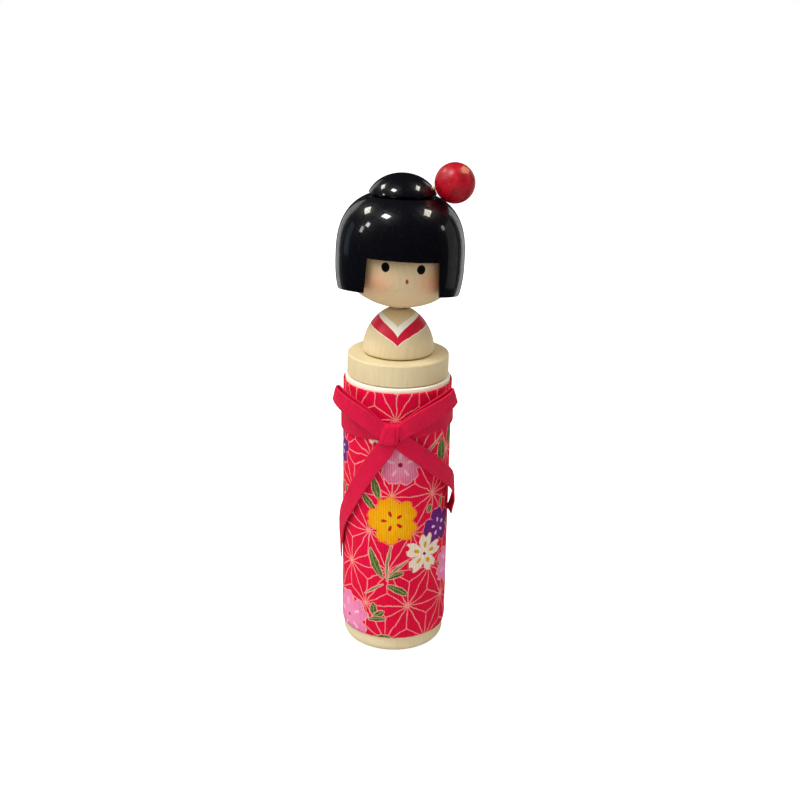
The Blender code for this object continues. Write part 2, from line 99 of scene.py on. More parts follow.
# Head and hair, measured up the neck peg from the top of the bust
HEAD_POSE = Euler((math.radians(-3.0), math.radians(1.5), math.radians(3.2)))
HEAD_RADIUS = 19.3 * MM
HEAD_LIFT = 0.6 * MM
HEAD_LOWER = 13.0 * MM
HEAD_UPPER = 21.8 * MM
HEAD_LOWER_POWER = 2.0
HEAD_UPPER_POWER = 2.3
CHIN_ASIDE = 1.4 * MM
HAIR_GAP = 0.3 * MM
HAIR_RADIUS = 22.2 * MM
HAIR_UPPER = 22.8 * MM
HAIR_LOWER = 25.0 * MM
HAIR_POWER = 2.6
HAIR_WIDEST = 17.8 * MM
CROWN_SEAT = 38.6 * MM
CROWN_HOLE = 1.8 * MM
HAIR_HEM = 5.8 * MM
HAIR_HEM_RISE = math.radians(6.3)
HAIR_CUT_ROLL = math.radians(1.8)
FRINGE_HEIGHT = 19.5 * MM
FACE_HALF_WIDTH = 11.9 * MM
FACE_FLARE = math.radians(2.0)
BUN_RADIUS = 12.3 * MM
BUN_DOME = 10.1 * MM
BUN_BOTTOM = 38.9 * MM
BUN_MIDDLE = 36.3 * MM
BUN_UNDERCUT = 0.8 * MM
BEAD_HOLE = 1.0 * MM
BEAD_HOLE_DEPTH = 7.8 * MM

# Kimono: one piece of printed cotton, its ends lapped at the back
CLOTH_CUT_WIDTH = 123.4 * MM
CLOTH_THICKNESS = 0.4 * MM
LAP_RISE = 0.48 * MM
PRINT_REPEAT = 59.8 * MM

# Ribbon
RIBBON_WIDTH = 6.4 * MM
RIBBON_THICKNESS = 0.45 * MM
PACKED_RIBBON = 0.5 * MM
LAYER_GAP = 0.3 * MM
WAIST_SLOPE = 0.08
KNOT_AROUND = -2.0 * MM
KNOT_WIDTH = 6.9 * MM
KNOT_THICKNESS = 2.3 * MM
KNOT_DROP = 4.9 * MM
KNOT_RISE = 3.2 * MM
KNOT_LEAN = 1.8 * MM
LOOP_PINCH = 0.55 * MM
LOOP_ARCH = 1.5 * MM
RIGHT_TAIL_TWIST = math.radians(-24)


# ---------------------------------------------------------------- node tools

def colour(red, green, blue):
    """A colour as a screen shows it, 0 to 255, turned into the linear one that shaders take."""
    linear = []
    for value in (red, green, blue):
        share = value / 255
        linear.append(share / 12.92 if share <= 0.04045 else ((share + 0.055) / 1.055) ** 2.4)
    return (*linear, 1.0)


class Nodes:
    """Short calls that add nodes to one tree and link them."""

    def __init__(self, tree):
        self.tree = tree

    def feed(self, socket, value):
        if isinstance(value, bpy.types.NodeSocket):
            self.tree.links.new(value, socket)
        else:
            socket.default_value = value

    def add(self, kind, inputs=None, **settings):
        node = self.tree.nodes.new(kind)
        for name, value in settings.items():
            setattr(node, name, value)
        for name, value in (inputs or {}).items():
            self.feed(node.inputs[name], value)
        return node

    def math(self, operation, *values, clamp=False):
        node = self.add("ShaderNodeMath", operation=operation, use_clamp=clamp)
        for socket, value in zip(node.inputs, values):
            self.feed(socket, value)
        return node.outputs[0]

    def vector(self, operation, *values):
        node = self.add("ShaderNodeVectorMath", operation=operation)
        for socket, value in zip(node.inputs, values):
            self.feed(socket, value)
        return node.outputs[0]

    def step(self, value, low, high):
        """0 below low and 1 above high, smooth between them. With low over high it falls instead."""
        node = self.add("ShaderNodeMapRange", interpolation_type="SMOOTHSTEP")
        for name, given in (("Value", value), ("From Min", low), ("From Max", high)):
            self.feed(node.inputs[name], given)
        return node.outputs[0]

    def range(self, value, low, high):
        """Spreads a 0 to 1 value from low to high."""
        node = self.add("ShaderNodeMapRange", {"Value": value, "To Min": low, "To Max": high})
        return node.outputs[0]

    def mix(self, share, first, second):
        node = self.add("ShaderNodeMix", data_type="RGBA")
        self.feed(node.inputs[0], share)
        self.feed(node.inputs[6], first)
        self.feed(node.inputs[7], second)
        return node.outputs[2]

    def noise(self, place, scale, detail=3.0, roughness=0.5):
        inputs = {"Vector": place, "Scale": scale, "Detail": detail, "Roughness": roughness}
        return self.add("ShaderNodeTexNoise", inputs).outputs[0]

    def split(self, value):
        """The three coordinates of a place, by name."""
        return self.add("ShaderNodeSeparateXYZ", {"Vector": value}).outputs

    def own_place(self):
        """Where a point of the surface is, in metres."""
        return self.add("ShaderNodeTexCoord").outputs["Object"]

    def cloth_place(self):
        """Where a point of a cloth lies when the cloth is flat, in millimetres."""
        flat = self.add("ShaderNodeUVMap", uv_map="cloth").outputs[0]
        return self.stretch(flat, 1 / MM, 1 / MM, 0.0)

    def length(self, first, second):
        """The long side of a right triangle."""
        squares = (self.math("MULTIPLY", side, side) for side in (first, second))
        return self.math("SQRT", self.math("ADD", *squares))

    def rest(self, value):
        """What is left of one."""
        return self.math("SUBTRACT", 1.0, value)

    def warp(self, place, scale, detail, reach):
        """Pushes a flat place about by up to half of reach each way."""
        push = self.add("ShaderNodeTexNoise", {"Vector": place, "Scale": scale, "Detail": detail})
        spread = (reach, reach, 0.0)
        back = (-reach / 2, -reach / 2, 0.0)
        return self.vector("ADD", place, self.vector("MULTIPLY_ADD", push.outputs["Color"], spread, back))

    def join(self, x, y, z=0.0):
        return self.add("ShaderNodeCombineXYZ", {"X": x, "Y": y, "Z": z}).outputs[0]

    def stretch(self, place, x, y, z):
        return self.vector("MULTIPLY", place, (x, y, z))

    def place(self, effect, **inputs):
        """Places an effect group. An input's underscores stand for spaces."""
        node = self.add("ShaderNodeGroup", node_tree=effect)
        for name, value in inputs.items():
            self.feed(node.inputs[name.replace("_", " ")], value)
        return node.outputs


SOCKETS = {"colour": "NodeSocketColor", "number": "NodeSocketFloat", "place": "NodeSocketVector"}


def new_effect(name, inputs, outputs):
    """An empty effect group: its nodes, its input sockets and a call that feeds an output."""
    tree = bpy.data.node_groups.new(name, "ShaderNodeTree")
    for title, kind, value in inputs:
        socket = tree.interface.new_socket(title, in_out="INPUT", socket_type=SOCKETS[kind])
        if value is not None:
            socket.default_value = value
    for title, kind in outputs:
        tree.interface.new_socket(title, in_out="OUTPUT", socket_type=SOCKETS[kind])
    nodes = Nodes(tree)
    start = nodes.add("NodeGroupInput").outputs
    end = nodes.add("NodeGroupOutput").inputs
    return tree, nodes, start, lambda title, value: nodes.feed(end[title], value)


# ---------------------------------------------------------------- effects shared by the finishes

def make_grain():
    """Growth rings about a pith that stands beside the piece, and fibres that run up it."""
    tree, nodes, given, give = new_effect(
        "wood grain",
        [
            ("Place", "place", None), ("Light", "colour", colour(240, 222, 188)),
            ("Dark", "colour", colour(205, 176, 132)), ("Pith X", "number", 0.03),
            ("Pith Y", "number", 0.02), ("Ring Width", "number", 0.0016),
        ],
        [("Color", "colour"), ("Height", "number")],
    )
    bend = nodes.noise(nodes.stretch(given["Place"], 60, 60, 16), 1.0, 2.0)
    spot = nodes.split(given["Place"])
    along = nodes.math("SUBTRACT", spot["X"], given["Pith X"])
    across = nodes.math("SUBTRACT", spot["Y"], given["Pith Y"])
    turns = nodes.math("DIVIDE", nodes.length(along, across), given["Ring Width"])
    turns = nodes.math("ADD", turns, nodes.math("MULTIPLY", bend, 4.5))
    rings = nodes.math("FRACT", turns)
    rings = nodes.math("MULTIPLY", nodes.step(rings, 0.0, 0.85), nodes.step(rings, 1.0, 0.9))
    fibre = nodes.noise(nodes.stretch(given["Place"], 3200, 3200, 120), 1.0, 3.0, 0.6)
    flecks = nodes.noise(nodes.stretch(given["Place"], 1500, 1500, 160), 1.0, 2.0)
    flecks = nodes.step(flecks, 0.62, 0.74)
    cloud = nodes.noise(given["Place"], 55.0, 3.0)
    share = nodes.math("ADD", nodes.math("MULTIPLY", rings, 0.1), nodes.math("MULTIPLY", fibre, 0.6))
    share = nodes.math("ADD", share, nodes.math("MULTIPLY", flecks, 0.22))
    share = nodes.math("ADD", share, nodes.math("MULTIPLY_ADD", cloud, 0.6, -0.4), clamp=True)
    give("Color", nodes.mix(share, given["Light"], given["Dark"]))
    give("Height", nodes.math("MULTIPLY_ADD", rings, 0.25, nodes.math("MULTIPLY", fibre, 0.75)))
    return tree


def make_lathe_marks():
    """The faint rings that a turning tool leaves, close together and uneven."""
    tree, nodes, given, give = new_effect(
        "lathe marks",
        [("Place", "place", None), ("Spacing", "number", 0.0005)],
        [("Height", "number")],
    )
    pace = nodes.math("DIVIDE", nodes.split(given["Place"])["Z"], given["Spacing"])
    uneven = nodes.noise(nodes.join(0.0, 0.0, pace), 0.7, 3.0)
    wave = nodes.math("SINE", nodes.math("MULTIPLY_ADD", uneven, 6.0, pace))
    fade = nodes.step(nodes.noise(given["Place"], 120.0, 2.0), 0.35, 0.7)
    give("Height", nodes.math("MULTIPLY_ADD", nodes.math("MULTIPLY", wave, fade), 0.35, 0.5))
    return tree


def make_brush_streaks():
    """Strokes that run up a painted or lacquered surface, with a few specks under the coat."""
    tree, nodes, given, give = new_effect(
        "brush streaks",
        [("Place", "place", None), ("Stroke", "number", 0.0009)],
        [("Height", "number"), ("Specks", "number")],
    )
    pace = nodes.math("DIVIDE", 1.0, given["Stroke"])
    wide = nodes.add("ShaderNodeVectorMath", operation="SCALE")
    nodes.feed(wide.inputs[0], nodes.stretch(given["Place"], 1.0, 1.0, 0.05))
    nodes.feed(wide.inputs["Scale"], pace)
    strokes = nodes.noise(wide.outputs[0], 1.0, 4.0, 0.6)
    orange_peel = nodes.noise(given["Place"], 420.0, 2.0)
    give("Height", nodes.math("MULTIPLY_ADD", orange_peel, 0.3, nodes.math("MULTIPLY", strokes, 0.7)))
    give("Specks", nodes.step(nodes.noise(given["Place"], 2600.0, 1.0), 0.73, 0.8))
    return tree


def make_rubbed():
    """A patch round one place where the paint is rubbed through, ragged at its rim."""
    tree, nodes, given, give = new_effect(
        "rubbed patch",
        [("Place", "place", None), ("Centre", "place", None), ("Radius", "number", 0.003)],
        [("Mask", "number")],
    )
    gap = nodes.add("ShaderNodeVectorMath", operation="DISTANCE")
    nodes.feed(gap.inputs[0], given["Place"])
    nodes.feed(gap.inputs[1], given["Centre"])
    near = nodes.math("DIVIDE", gap.outputs["Value"], given["Radius"])
    ragged = nodes.noise(given["Place"], 900.0, 4.0, 0.65)
    near = nodes.math("ADD", near, nodes.math("MULTIPLY_ADD", ragged, 1.5, -0.75))
    give("Mask", nodes.step(near, 1.0, 0.7))
    return tree


def make_painted_oval():
    """An oval spot on the front of a piece, seen square on, with a brushed rim."""
    tree, nodes, given, give = new_effect(
        "painted oval",
        [
            ("Place", "place", None), ("Across", "number", 0.0), ("Up", "number", 0.0),
            ("Half Width", "number", 0.001), ("Half Height", "number", 0.001), ("Softness", "number", 0.1),
        ],
        [("Mask", "number")],
    )
    spot = nodes.split(given["Place"])
    side = nodes.math("DIVIDE", nodes.math("SUBTRACT", spot["X"], given["Across"]), given["Half Width"])
    rise = nodes.math("DIVIDE", nodes.math("SUBTRACT", spot["Z"], given["Up"]), given["Half Height"])
    uneven = nodes.math("MULTIPLY_ADD", nodes.noise(given["Place"], 700.0, 2.0), 0.16, -0.08)
    reach = nodes.math("ADD", nodes.length(side, rise), uneven)
    high = nodes.math("ADD", 1.0, given["Softness"])
    inside = nodes.rest(nodes.step(reach, nodes.rest(given["Softness"]), high))
    give("Mask", nodes.math("MULTIPLY", inside, nodes.math("LESS_THAN", spot["Y"], 0.0)))
    return tree


def make_weave():
    """A ribbed weave: ribs along the second direction, crossed by finer threads. Shade is 0 in the low
    places and 1 on the high ones; the finishes use it for painted shade in the hollows.
    """
    tree, nodes, given, give = new_effect(
        "ribbed weave",
        [("Place", "place", None), ("Rib", "number", 0.6), ("Thread", "number", 0.35)],
        [("Height", "number"), ("Shade", "number")],
    )
    slub = nodes.noise(nodes.stretch(given["Place"], 1.4, 0.25, 1.0), 1.0, 3.0)
    spot = nodes.split(given["Place"])
    across = nodes.math("MULTIPLY_ADD", slub, 0.28, spot["X"])
    rib = nodes.math("SINE", nodes.math("MULTIPLY", nodes.math("DIVIDE", across, given["Rib"]), math.tau))
    pace = nodes.math("MULTIPLY", nodes.math("DIVIDE", spot["Y"], given["Thread"]), math.tau)
    turn = nodes.math("MULTIPLY", nodes.math("FLOOR", nodes.math("DIVIDE", across, given["Rib"])), math.pi)
    thread = nodes.math("SINE", nodes.math("ADD", pace, turn))
    both = nodes.math("MULTIPLY_ADD", thread, 0.18, nodes.math("MULTIPLY", rib, 0.32))
    lumps = nodes.math("MULTIPLY_ADD", slub, 0.5, -0.25)
    height = nodes.math("ADD", nodes.math("ADD", both, 0.5), lumps)
    give("Height", height)
    give("Shade", nodes.step(height, 0.05, 0.85))
    return tree


def make_hemp_leaf():
    """The hemp leaf pattern as drawn lines: a net of triangles, each with spokes to its middle."""
    tree, nodes, given, give = new_effect(
        "hemp leaf lines",
        [
            ("Place", "place", None), ("Side", "number", 15.5), ("Row", "number", 14.3),
            ("Line", "number", 0.34),
        ],
        [("Mask", "number")],
    )
    spot = nodes.split(nodes.warp(given["Place"], 0.22, 3.0, 1.7))
    up = nodes.math("DIVIDE", spot["Y"], given["Row"])
    along = nodes.math("DIVIDE", spot["X"], given["Side"])
    along = nodes.math("SUBTRACT", along, nodes.math("MULTIPLY", up, 0.5))
    first = nodes.math("FRACT", along)
    second = nodes.math("FRACT", up)
    fold = nodes.math("GREATER_THAN", nodes.math("ADD", first, second), 1.0)
    flip = nodes.math("MULTIPLY_ADD", fold, -2.0, 1.0)
    first = nodes.math("MULTIPLY_ADD", first, flip, fold)
    second = nodes.math("MULTIPLY_ADD", second, flip, fold)
    third = nodes.rest(nodes.math("ADD", first, second))
    least = nodes.math("MINIMUM", nodes.math("MINIMUM", first, second), third)
    most = nodes.math("MAXIMUM", nodes.math("MAXIMUM", first, second), third)
    middle = nodes.math("SUBTRACT", nodes.rest(least), most)
    to_edge = nodes.math("MULTIPLY", least, given["Row"])
    spoke_pace = nodes.math("DIVIDE", given["Row"], math.sqrt(3))
    to_spoke = nodes.math("MULTIPLY", nodes.math("SUBTRACT", middle, least), spoke_pace)
    gap = nodes.math("MINIMUM", to_edge, to_spoke)
    to_star = nodes.math("MULTIPLY", nodes.rest(most), given["Row"])
    pressure = nodes.math("MULTIPLY_ADD", nodes.noise(given["Place"], 0.9, 2.0), 0.9, 0.5)
    half = nodes.math("MULTIPLY", nodes.math("MULTIPLY", given["Line"], 0.5), pressure)
    line = nodes.step(nodes.math("SUBTRACT", gap, half), 0.12, -0.06)
    star = nodes.step(to_star, 0.9, 0.35)
    give("Mask", nodes.math("MAXIMUM", line, star))
    return tree


def local_offset(nodes, given):
    """How far a place on the cloth is from a motif's centre, repeated round the cloth."""
    spot = nodes.split(given["Place"])
    half = PRINT_REPEAT / MM / 2
    aside = nodes.math("WRAP", nodes.math("SUBTRACT", spot["X"], given["Centre X"]), half, -half)
    return aside, nodes.math("SUBTRACT", spot["Y"], given["Centre Y"])


def make_blossom():
    """A printed flower of five notched petals, with a stroke on each petal and an eye."""
    tree, nodes, given, give = new_effect(
        "blossom",
        [
            ("Place", "place", None), ("Ground", "colour", None), ("Centre X", "number", 0.0),
            ("Centre Y", "number", 0.0), ("Radius", "number", 8.0), ("Turn", "number", 0.0),
            ("Notch", "number", 0.1), ("Petal", "colour", None), ("Petal Rim", "colour", None),
            ("Outline", "colour", None), ("Stroke", "colour", None), ("Stroke At", "number", 0.3),
            ("Stroke Length", "number", 0.9), ("Stroke Width", "number", 0.5), ("Gap", "number", 0.42),
            ("Eye", "number", 0.0),
        ],
        [("Color", "colour")],
    )
    aside, above = local_offset(nodes, given)
    shape = nodes.noise(nodes.join(aside, above, given["Radius"]), 0.35, 2.0)
    reach = nodes.length(aside, above)
    angle = nodes.math("SUBTRACT", nodes.math("ARCTAN2", above, aside), given["Turn"])
    petal = nodes.math("ABSOLUTE", nodes.math("COSINE", nodes.math("MULTIPLY", angle, 2.5)))
    lobe = nodes.math("POWER", petal, 0.55)
    notch = nodes.math("MULTIPLY", nodes.step(petal, 0.93, 1.0), given["Notch"])
    lobe = nodes.rest(nodes.math("MULTIPLY", nodes.rest(lobe), given["Gap"]))
    edge = nodes.math("SUBTRACT", lobe, notch)
    edge = nodes.math("MULTIPLY", edge, nodes.math("MULTIPLY_ADD", shape, 0.36, 0.82))
    inside = nodes.math("SUBTRACT", nodes.math("MULTIPLY", edge, given["Radius"]), reach)
    brushed = nodes.noise(nodes.join(aside, nodes.math("MULTIPLY", above, 0.3), 0.0), 1.6, 3.0)
    depth = nodes.math("DIVIDE", reach, given["Radius"])
    body = nodes.mix(nodes.math("MULTIPLY", nodes.math("ADD", depth, brushed), 0.55, clamp=True),
                     given["Petal"], given["Petal Rim"])
    fold = nodes.math("WRAP", angle, math.pi / 5, -math.pi / 5)
    out = nodes.math("SUBTRACT", nodes.math("MULTIPLY", reach, nodes.math("COSINE", fold)),
                     nodes.math("MULTIPLY", given["Stroke At"], given["Radius"]))
    wide = nodes.math("MULTIPLY", reach, nodes.math("SINE", fold))
    out = nodes.math("DIVIDE", out, given["Stroke Length"])
    wide = nodes.math("DIVIDE", wide, nodes.math("MULTIPLY_ADD", out, 0.14, given["Stroke Width"]))
    spot = nodes.math("ADD", nodes.math("MULTIPLY", out, out), nodes.math("MULTIPLY", wide, wide))
    body = nodes.mix(nodes.step(spot, 1.15, 0.8), body, given["Stroke"])
    eye = nodes.step(reach, nodes.math("ADD", given["Eye"], 0.12), given["Eye"])
    body = nodes.mix(eye, body, colour(160, 20, 40))
    drawn = nodes.mix(nodes.step(inside, -0.38, -0.26), given["Ground"], given["Outline"])
    give("Color", nodes.mix(nodes.step(inside, 0.0, 0.14), drawn, body))
    return tree


def make_leaf():
    """A printed leaf or stem: a pointed oval with a pale outline and a light vein."""
    tree, nodes, given, give = new_effect(
        "leaf",
        [
            ("Place", "place", None), ("Ground", "colour", None), ("Centre X", "number", 0.0),
            ("Centre Y", "number", 0.0), ("Turn", "number", 0.0), ("Length", "number", 9.0),
            ("Width", "number", 2.6), ("Green", "colour", colour(110, 132, 58)),
        ],
        [("Color", "colour")],
    )
    aside, above = local_offset(nodes, given)
    cosine = nodes.math("COSINE", given["Turn"])
    sine = nodes.math("SINE", given["Turn"])
    along = nodes.math("MULTIPLY_ADD", aside, cosine, nodes.math("MULTIPLY", above, sine))
    across = nodes.math("MULTIPLY", aside, sine)
    across = nodes.math("SUBTRACT", nodes.math("MULTIPLY", above, cosine), across)
    bend = nodes.math("MULTIPLY", nodes.math("MULTIPLY", along, along), 0.015)
    across = nodes.math("ADD", across, bend)
    share = nodes.math("DIVIDE", nodes.math("MULTIPLY", along, 2.0), given["Length"])
    taper = nodes.math("SUBTRACT", 1.0, nodes.math("MULTIPLY", share, share), clamp=True)
    half_width = nodes.math("MULTIPLY", given["Width"], 0.5)
    half = nodes.math("MULTIPLY", half_width, nodes.math("POWER", taper, 0.75))
    inside = nodes.math("SUBTRACT", half, nodes.math("ABSOLUTE", across))
    shown = nodes.math("GREATER_THAN", taper, 0.001)
    brushed = nodes.noise(nodes.join(aside, above, 3.0), 1.8, 3.0)
    body = nodes.mix(nodes.step(brushed, 0.35, 0.7), given["Green"], colour(56, 72, 30))
    vein = nodes.math("ABSOLUTE", nodes.math("SUBTRACT", across, 0.1))
    body = nodes.mix(nodes.math("MULTIPLY", nodes.step(vein, 0.22, 0.08), 0.7), body, colour(176, 178, 120))
    outline = nodes.math("MULTIPLY", nodes.step(inside, -0.34, -0.2), shown)
    drawn = nodes.mix(outline, given["Ground"], colour(250, 176, 160))
    give("Color", nodes.mix(nodes.math("MULTIPLY", nodes.step(inside, 0.0, 0.12), shown), drawn, body))
    return tree


GRAIN = make_grain()
LATHE = make_lathe_marks()
STREAKS = make_brush_streaks()
RUBBED = make_rubbed()
OVAL = make_painted_oval()
WEAVE = make_weave()
HEMP = make_hemp_leaf()
BLOSSOM = make_blossom()
LEAF = make_leaf()


# ---------------------------------------------------------------- finishes

def new_finish(name, roughness, **constants):
    """A material, its nodes and its shader, with values that hold over the whole surface."""
    material = bpy.data.materials.new(name)
    material.use_nodes = True
    nodes = Nodes(material.node_tree)
    shader = material.node_tree.nodes["Principled BSDF"]
    shader.inputs["Roughness"].default_value = roughness
    for title, value in constants.items():
        shader.inputs[title.replace("_", " ")].default_value = value
    return material, nodes, shader


def raise_surface(nodes, shader, height, distance, strength=1.0):
    bump = nodes.add("ShaderNodeBump", {"Height": height, "Distance": distance, "Strength": strength})
    nodes.feed(shader.inputs["Normal"], bump.outputs[0])


WOOD_LIGHT = colour(230, 215, 176)
WOOD_DARK = colour(206, 186, 136)


def wood_surface(nodes, place, light=WOOD_LIGHT, dark=WOOD_DARK, pith=(0.03, 0.022)):
    """The colour and height of bare turned wood."""
    grain = nodes.place(GRAIN, Place=place, Light=light, Dark=dark, Pith_X=pith[0], Pith_Y=pith[1])
    marks = nodes.place(LATHE, Place=place)
    height = nodes.math("MULTIPLY_ADD", marks["Height"], 0.5, nodes.math("MULTIPLY", grain["Height"], 0.5))
    return grain["Color"], height


def make_bare_wood(name, light=WOOD_LIGHT, dark=WOOD_DARK, pith=(0.03, 0.022), roughness=0.5):
    material, nodes, shader = new_finish(name, roughness)
    place = nodes.own_place()
    tint, height = wood_surface(nodes, place, light, dark, pith)
    soil = nodes.step(nodes.noise(place, 90.0, 4.0, 0.6), 0.56, 0.8)
    tint = nodes.mix(nodes.math("MULTIPLY", soil, 0.22), tint, colour(196, 160, 120))
    nodes.feed(shader.inputs["Base Color"], tint)
    nodes.feed(shader.inputs["Roughness"], nodes.range(height, roughness - 0.08, roughness + 0.14))
    raise_surface(nodes, shader, height, 0.00005, 0.5)
    return material


def make_cup_wood():
    """Bare wood, whiter towards the rim as a painted highlight where the rim is lit from above, and darker
    at the foot as painted shade where it meets the floor.
    """
    material, nodes, shader = new_finish("cup_wood", 0.5)
    place = nodes.own_place()
    tint, height = wood_surface(nodes, place, WOOD_LIGHT, WOOD_DARK, (0.034, -0.02))
    z = nodes.split(place)["Z"]
    # The top 2.5 mm are mixed towards near white: a painted highlight where the rim is lit from above.
    rim = nodes.step(z, cup_top - 2.5 * MM, cup_top - 0.8 * MM)
    tint = nodes.mix(nodes.math("MULTIPLY", rim, 0.75), tint, colour(255, 250, 236))
    # The lowest 2 mm are mixed darker: painted shade where the foot meets the floor.
    foot = nodes.step(z, 2.2 * MM, 0.2 * MM)
    tint = nodes.mix(nodes.math("MULTIPLY", foot, 0.3), tint, colour(190, 160, 118))
    nodes.feed(shader.inputs["Base Color"], tint)
    nodes.feed(shader.inputs["Roughness"], nodes.range(height, 0.42, 0.62))
    raise_surface(nodes, shader, height, 0.00005, 0.5)
    return material


# The collar's edges: each one's tip above the bust's foot, and its climb to a place 10 mm aside
COLLAR_ASIDE = 0.25 * MM
RED_COLLAR = (4.6 * MM, 5.5 * MM)
WHITE_COLLAR = (7.4 * MM, 7.2 * MM)
COLLAR_OPENING = (10.6 * MM, 4.9 * MM)


def make_bust_paint():
    """Bare wood with a red collar over a white one, crossing low on the chest."""
    material, nodes, shader = new_finish("bust_paint", 0.5)
    place = nodes.own_place()
    tint, height = wood_surface(nodes, place, colour(228, 209, 168), colour(198, 173, 123), (-0.03, 0.02))
    spot = nodes.split(place)
    behind = nodes.math("MAXIMUM", spot["Y"], 0.0)
    aside = nodes.length(nodes.math("ADD", spot["X"], COLLAR_ASIDE), behind)
    shake = nodes.math("MULTIPLY_ADD", nodes.noise(place, 500.0, 2.0), 0.0004, -0.0002)
    above = nodes.math("ADD", nodes.math("SUBTRACT", spot["Z"], bust_low.z), shake)

    def over(edge):
        """How far a place lies above an edge that climbs to both sides of its tip."""
        tip, rise = edge
        share = nodes.math("POWER", nodes.math("DIVIDE", aside, 10 * MM), 0.65)
        climb = nodes.math("MULTIPLY", share, rise)
        return nodes.math("SUBTRACT", nodes.math("SUBTRACT", above, tip), climb)

    over_red = over(RED_COLLAR)
    fine = 0.12 * MM
    red = nodes.step(over_red, 0.0, fine)
    white = nodes.step(over(WHITE_COLLAR), 0.0, fine)
    skin = nodes.step(over(COLLAR_OPENING), 0.0, fine)
    brush = nodes.place(STREAKS, Place=place, Stroke=0.0006)
    red_paint = nodes.mix(brush["Height"], colour(226, 8, 58), colour(188, 8, 42))
    line = nodes.step(over_red, -0.3 * MM, -0.2 * MM)
    painted = nodes.mix(line, tint, colour(250, 232, 214))
    painted = nodes.mix(red, painted, red_paint)
    painted = nodes.mix(white, painted, colour(244, 240, 226))
    painted = nodes.mix(skin, painted, tint)
    nodes.feed(shader.inputs["Base Color"], painted)
    coat = nodes.math("SUBTRACT", red, skin, clamp=True)
    nodes.feed(shader.inputs["Roughness"], nodes.range(coat, 0.52, 0.38))
    raise_surface(nodes, shader, nodes.math("MULTIPLY_ADD", coat, 0.8, height), 0.00006, 0.5)
    return material


# The face, as places on the front of the head: from the middle plane, and above the head's neck joint
EYE_LEFT = (-4.7 * MM, 18.3 * MM)
EYE_RIGHT = (7.1 * MM, 17.5 * MM)
EYE_HALF = (1.38 * MM, 1.56 * MM)
MOUTH = (2.5 * MM, 13.7 * MM)
CHEEK_LEFT = (-7.6 * MM, 12.2 * MM)
CHEEK_RIGHT = (10.6 * MM, 12.6 * MM)


def make_face_paint():
    """Bare wood with painted eyes, a small mouth and rubbed-in cheeks. The wood is painted darker overall,
    and darker still near the hair, as painted shade from the hair.
    """
    material, nodes, shader = new_finish("face_paint", 0.46)
    place = nodes.own_place()
    # The face's wood colours are darker than the other wood: painted shade from the hair over the whole
    # face.
    tint, height = wood_surface(nodes, place, colour(218, 195, 154), colour(186, 158, 114), (0.026, 0.03))
    base = neck["pos_m"][2]

    def spot(where, half_width, half_height, softness):
        return nodes.place(
            OVAL, Place=place, Across=where[0], Up=base + where[1],
            Half_Width=half_width, Half_Height=half_height, Softness=softness,
        )["Mask"]

    where = nodes.split(place)
    z = where["Z"]
    aside = nodes.math("ABSOLUTE", nodes.math("SUBTRACT", where["X"], 0.3 * MM))
    # Painted shadow of the hair: darker towards the sides of the face and under the fringe, above the
    # cheeks.
    hair_shadow_aside = nodes.step(aside, 8.5 * MM, 12.5 * MM)
    fringe_shadow = nodes.step(z, base + 17.5 * MM, base + 21.0 * MM)
    shade = nodes.math("MAXIMUM", hair_shadow_aside, nodes.math("MULTIPLY", fringe_shadow, 0.8))
    shade = nodes.math("MULTIPLY", shade, nodes.step(z, base + 6.0 * MM, base + 12.0 * MM))
    tint = nodes.mix(nodes.math("MULTIPLY", shade, 0.6), tint, colour(160, 112, 72))
    for cheek in (CHEEK_LEFT, CHEEK_RIGHT):
        rubbed = nodes.math("MULTIPLY", spot(cheek, 4.0 * MM, 3.4 * MM, 0.95), 0.42)
        tint = nodes.mix(rubbed, tint, colour(226, 122, 84))
    tint = nodes.mix(spot(MOUTH, 0.5 * MM, 0.8 * MM, 0.35), tint, colour(120, 14, 10))
    tint = nodes.mix(spot(MOUTH, 0.26 * MM, 0.46 * MM, 0.4), tint, colour(206, 12, 16))
    eyes = nodes.math("MAXIMUM", spot(EYE_LEFT, *EYE_HALF, 0.09), spot(EYE_RIGHT, *EYE_HALF, 0.09))
    tint = nodes.mix(eyes, tint, colour(16, 12, 12))
    nodes.feed(shader.inputs["Base Color"], tint)
    nodes.feed(shader.inputs["Roughness"], nodes.range(eyes, 0.48, 0.26))
    raise_surface(nodes, shader, nodes.math("MULTIPLY_ADD", eyes, 1.4, height), 0.00006, 0.5)
    return material


def make_hair_lacquer():
    """Black lacquer brushed over turned wood: the grain shows as fine streaks in the gloss."""
    material, nodes, shader = new_finish("hair_lacquer", 0.3, Coat_Roughness=0.06, Specular_IOR_Level=0.12)
    place = nodes.own_place()
    streaks = nodes.place(STREAKS, Place=place, Stroke=0.0011)
    grain = nodes.place(GRAIN, Place=place, Pith_X=0.03, Pith_Y=0.03)
    tint = nodes.mix(streaks["Height"], colour(3, 4, 9), colour(12, 12, 18))
    tint = nodes.mix(nodes.math("MULTIPLY", streaks["Specks"], 0.5), tint, colour(60, 60, 66))
    nodes.feed(shader.inputs["Base Color"], tint)
    nodes.feed(shader.inputs["Roughness"], nodes.range(streaks["Height"], 0.2, 0.45))
    brushed = nodes.step(streaks["Height"], 0.42, 0.62)
    nodes.feed(shader.inputs["Coat Weight"], nodes.range(brushed, 1.0, 0.62))
    height = nodes.math("MULTIPLY_ADD", streaks["Height"], 0.6, nodes.math("MULTIPLY", grain["Height"], 0.4))
    raise_surface(nodes, shader, height, 0.00016, 0.75)
    return material


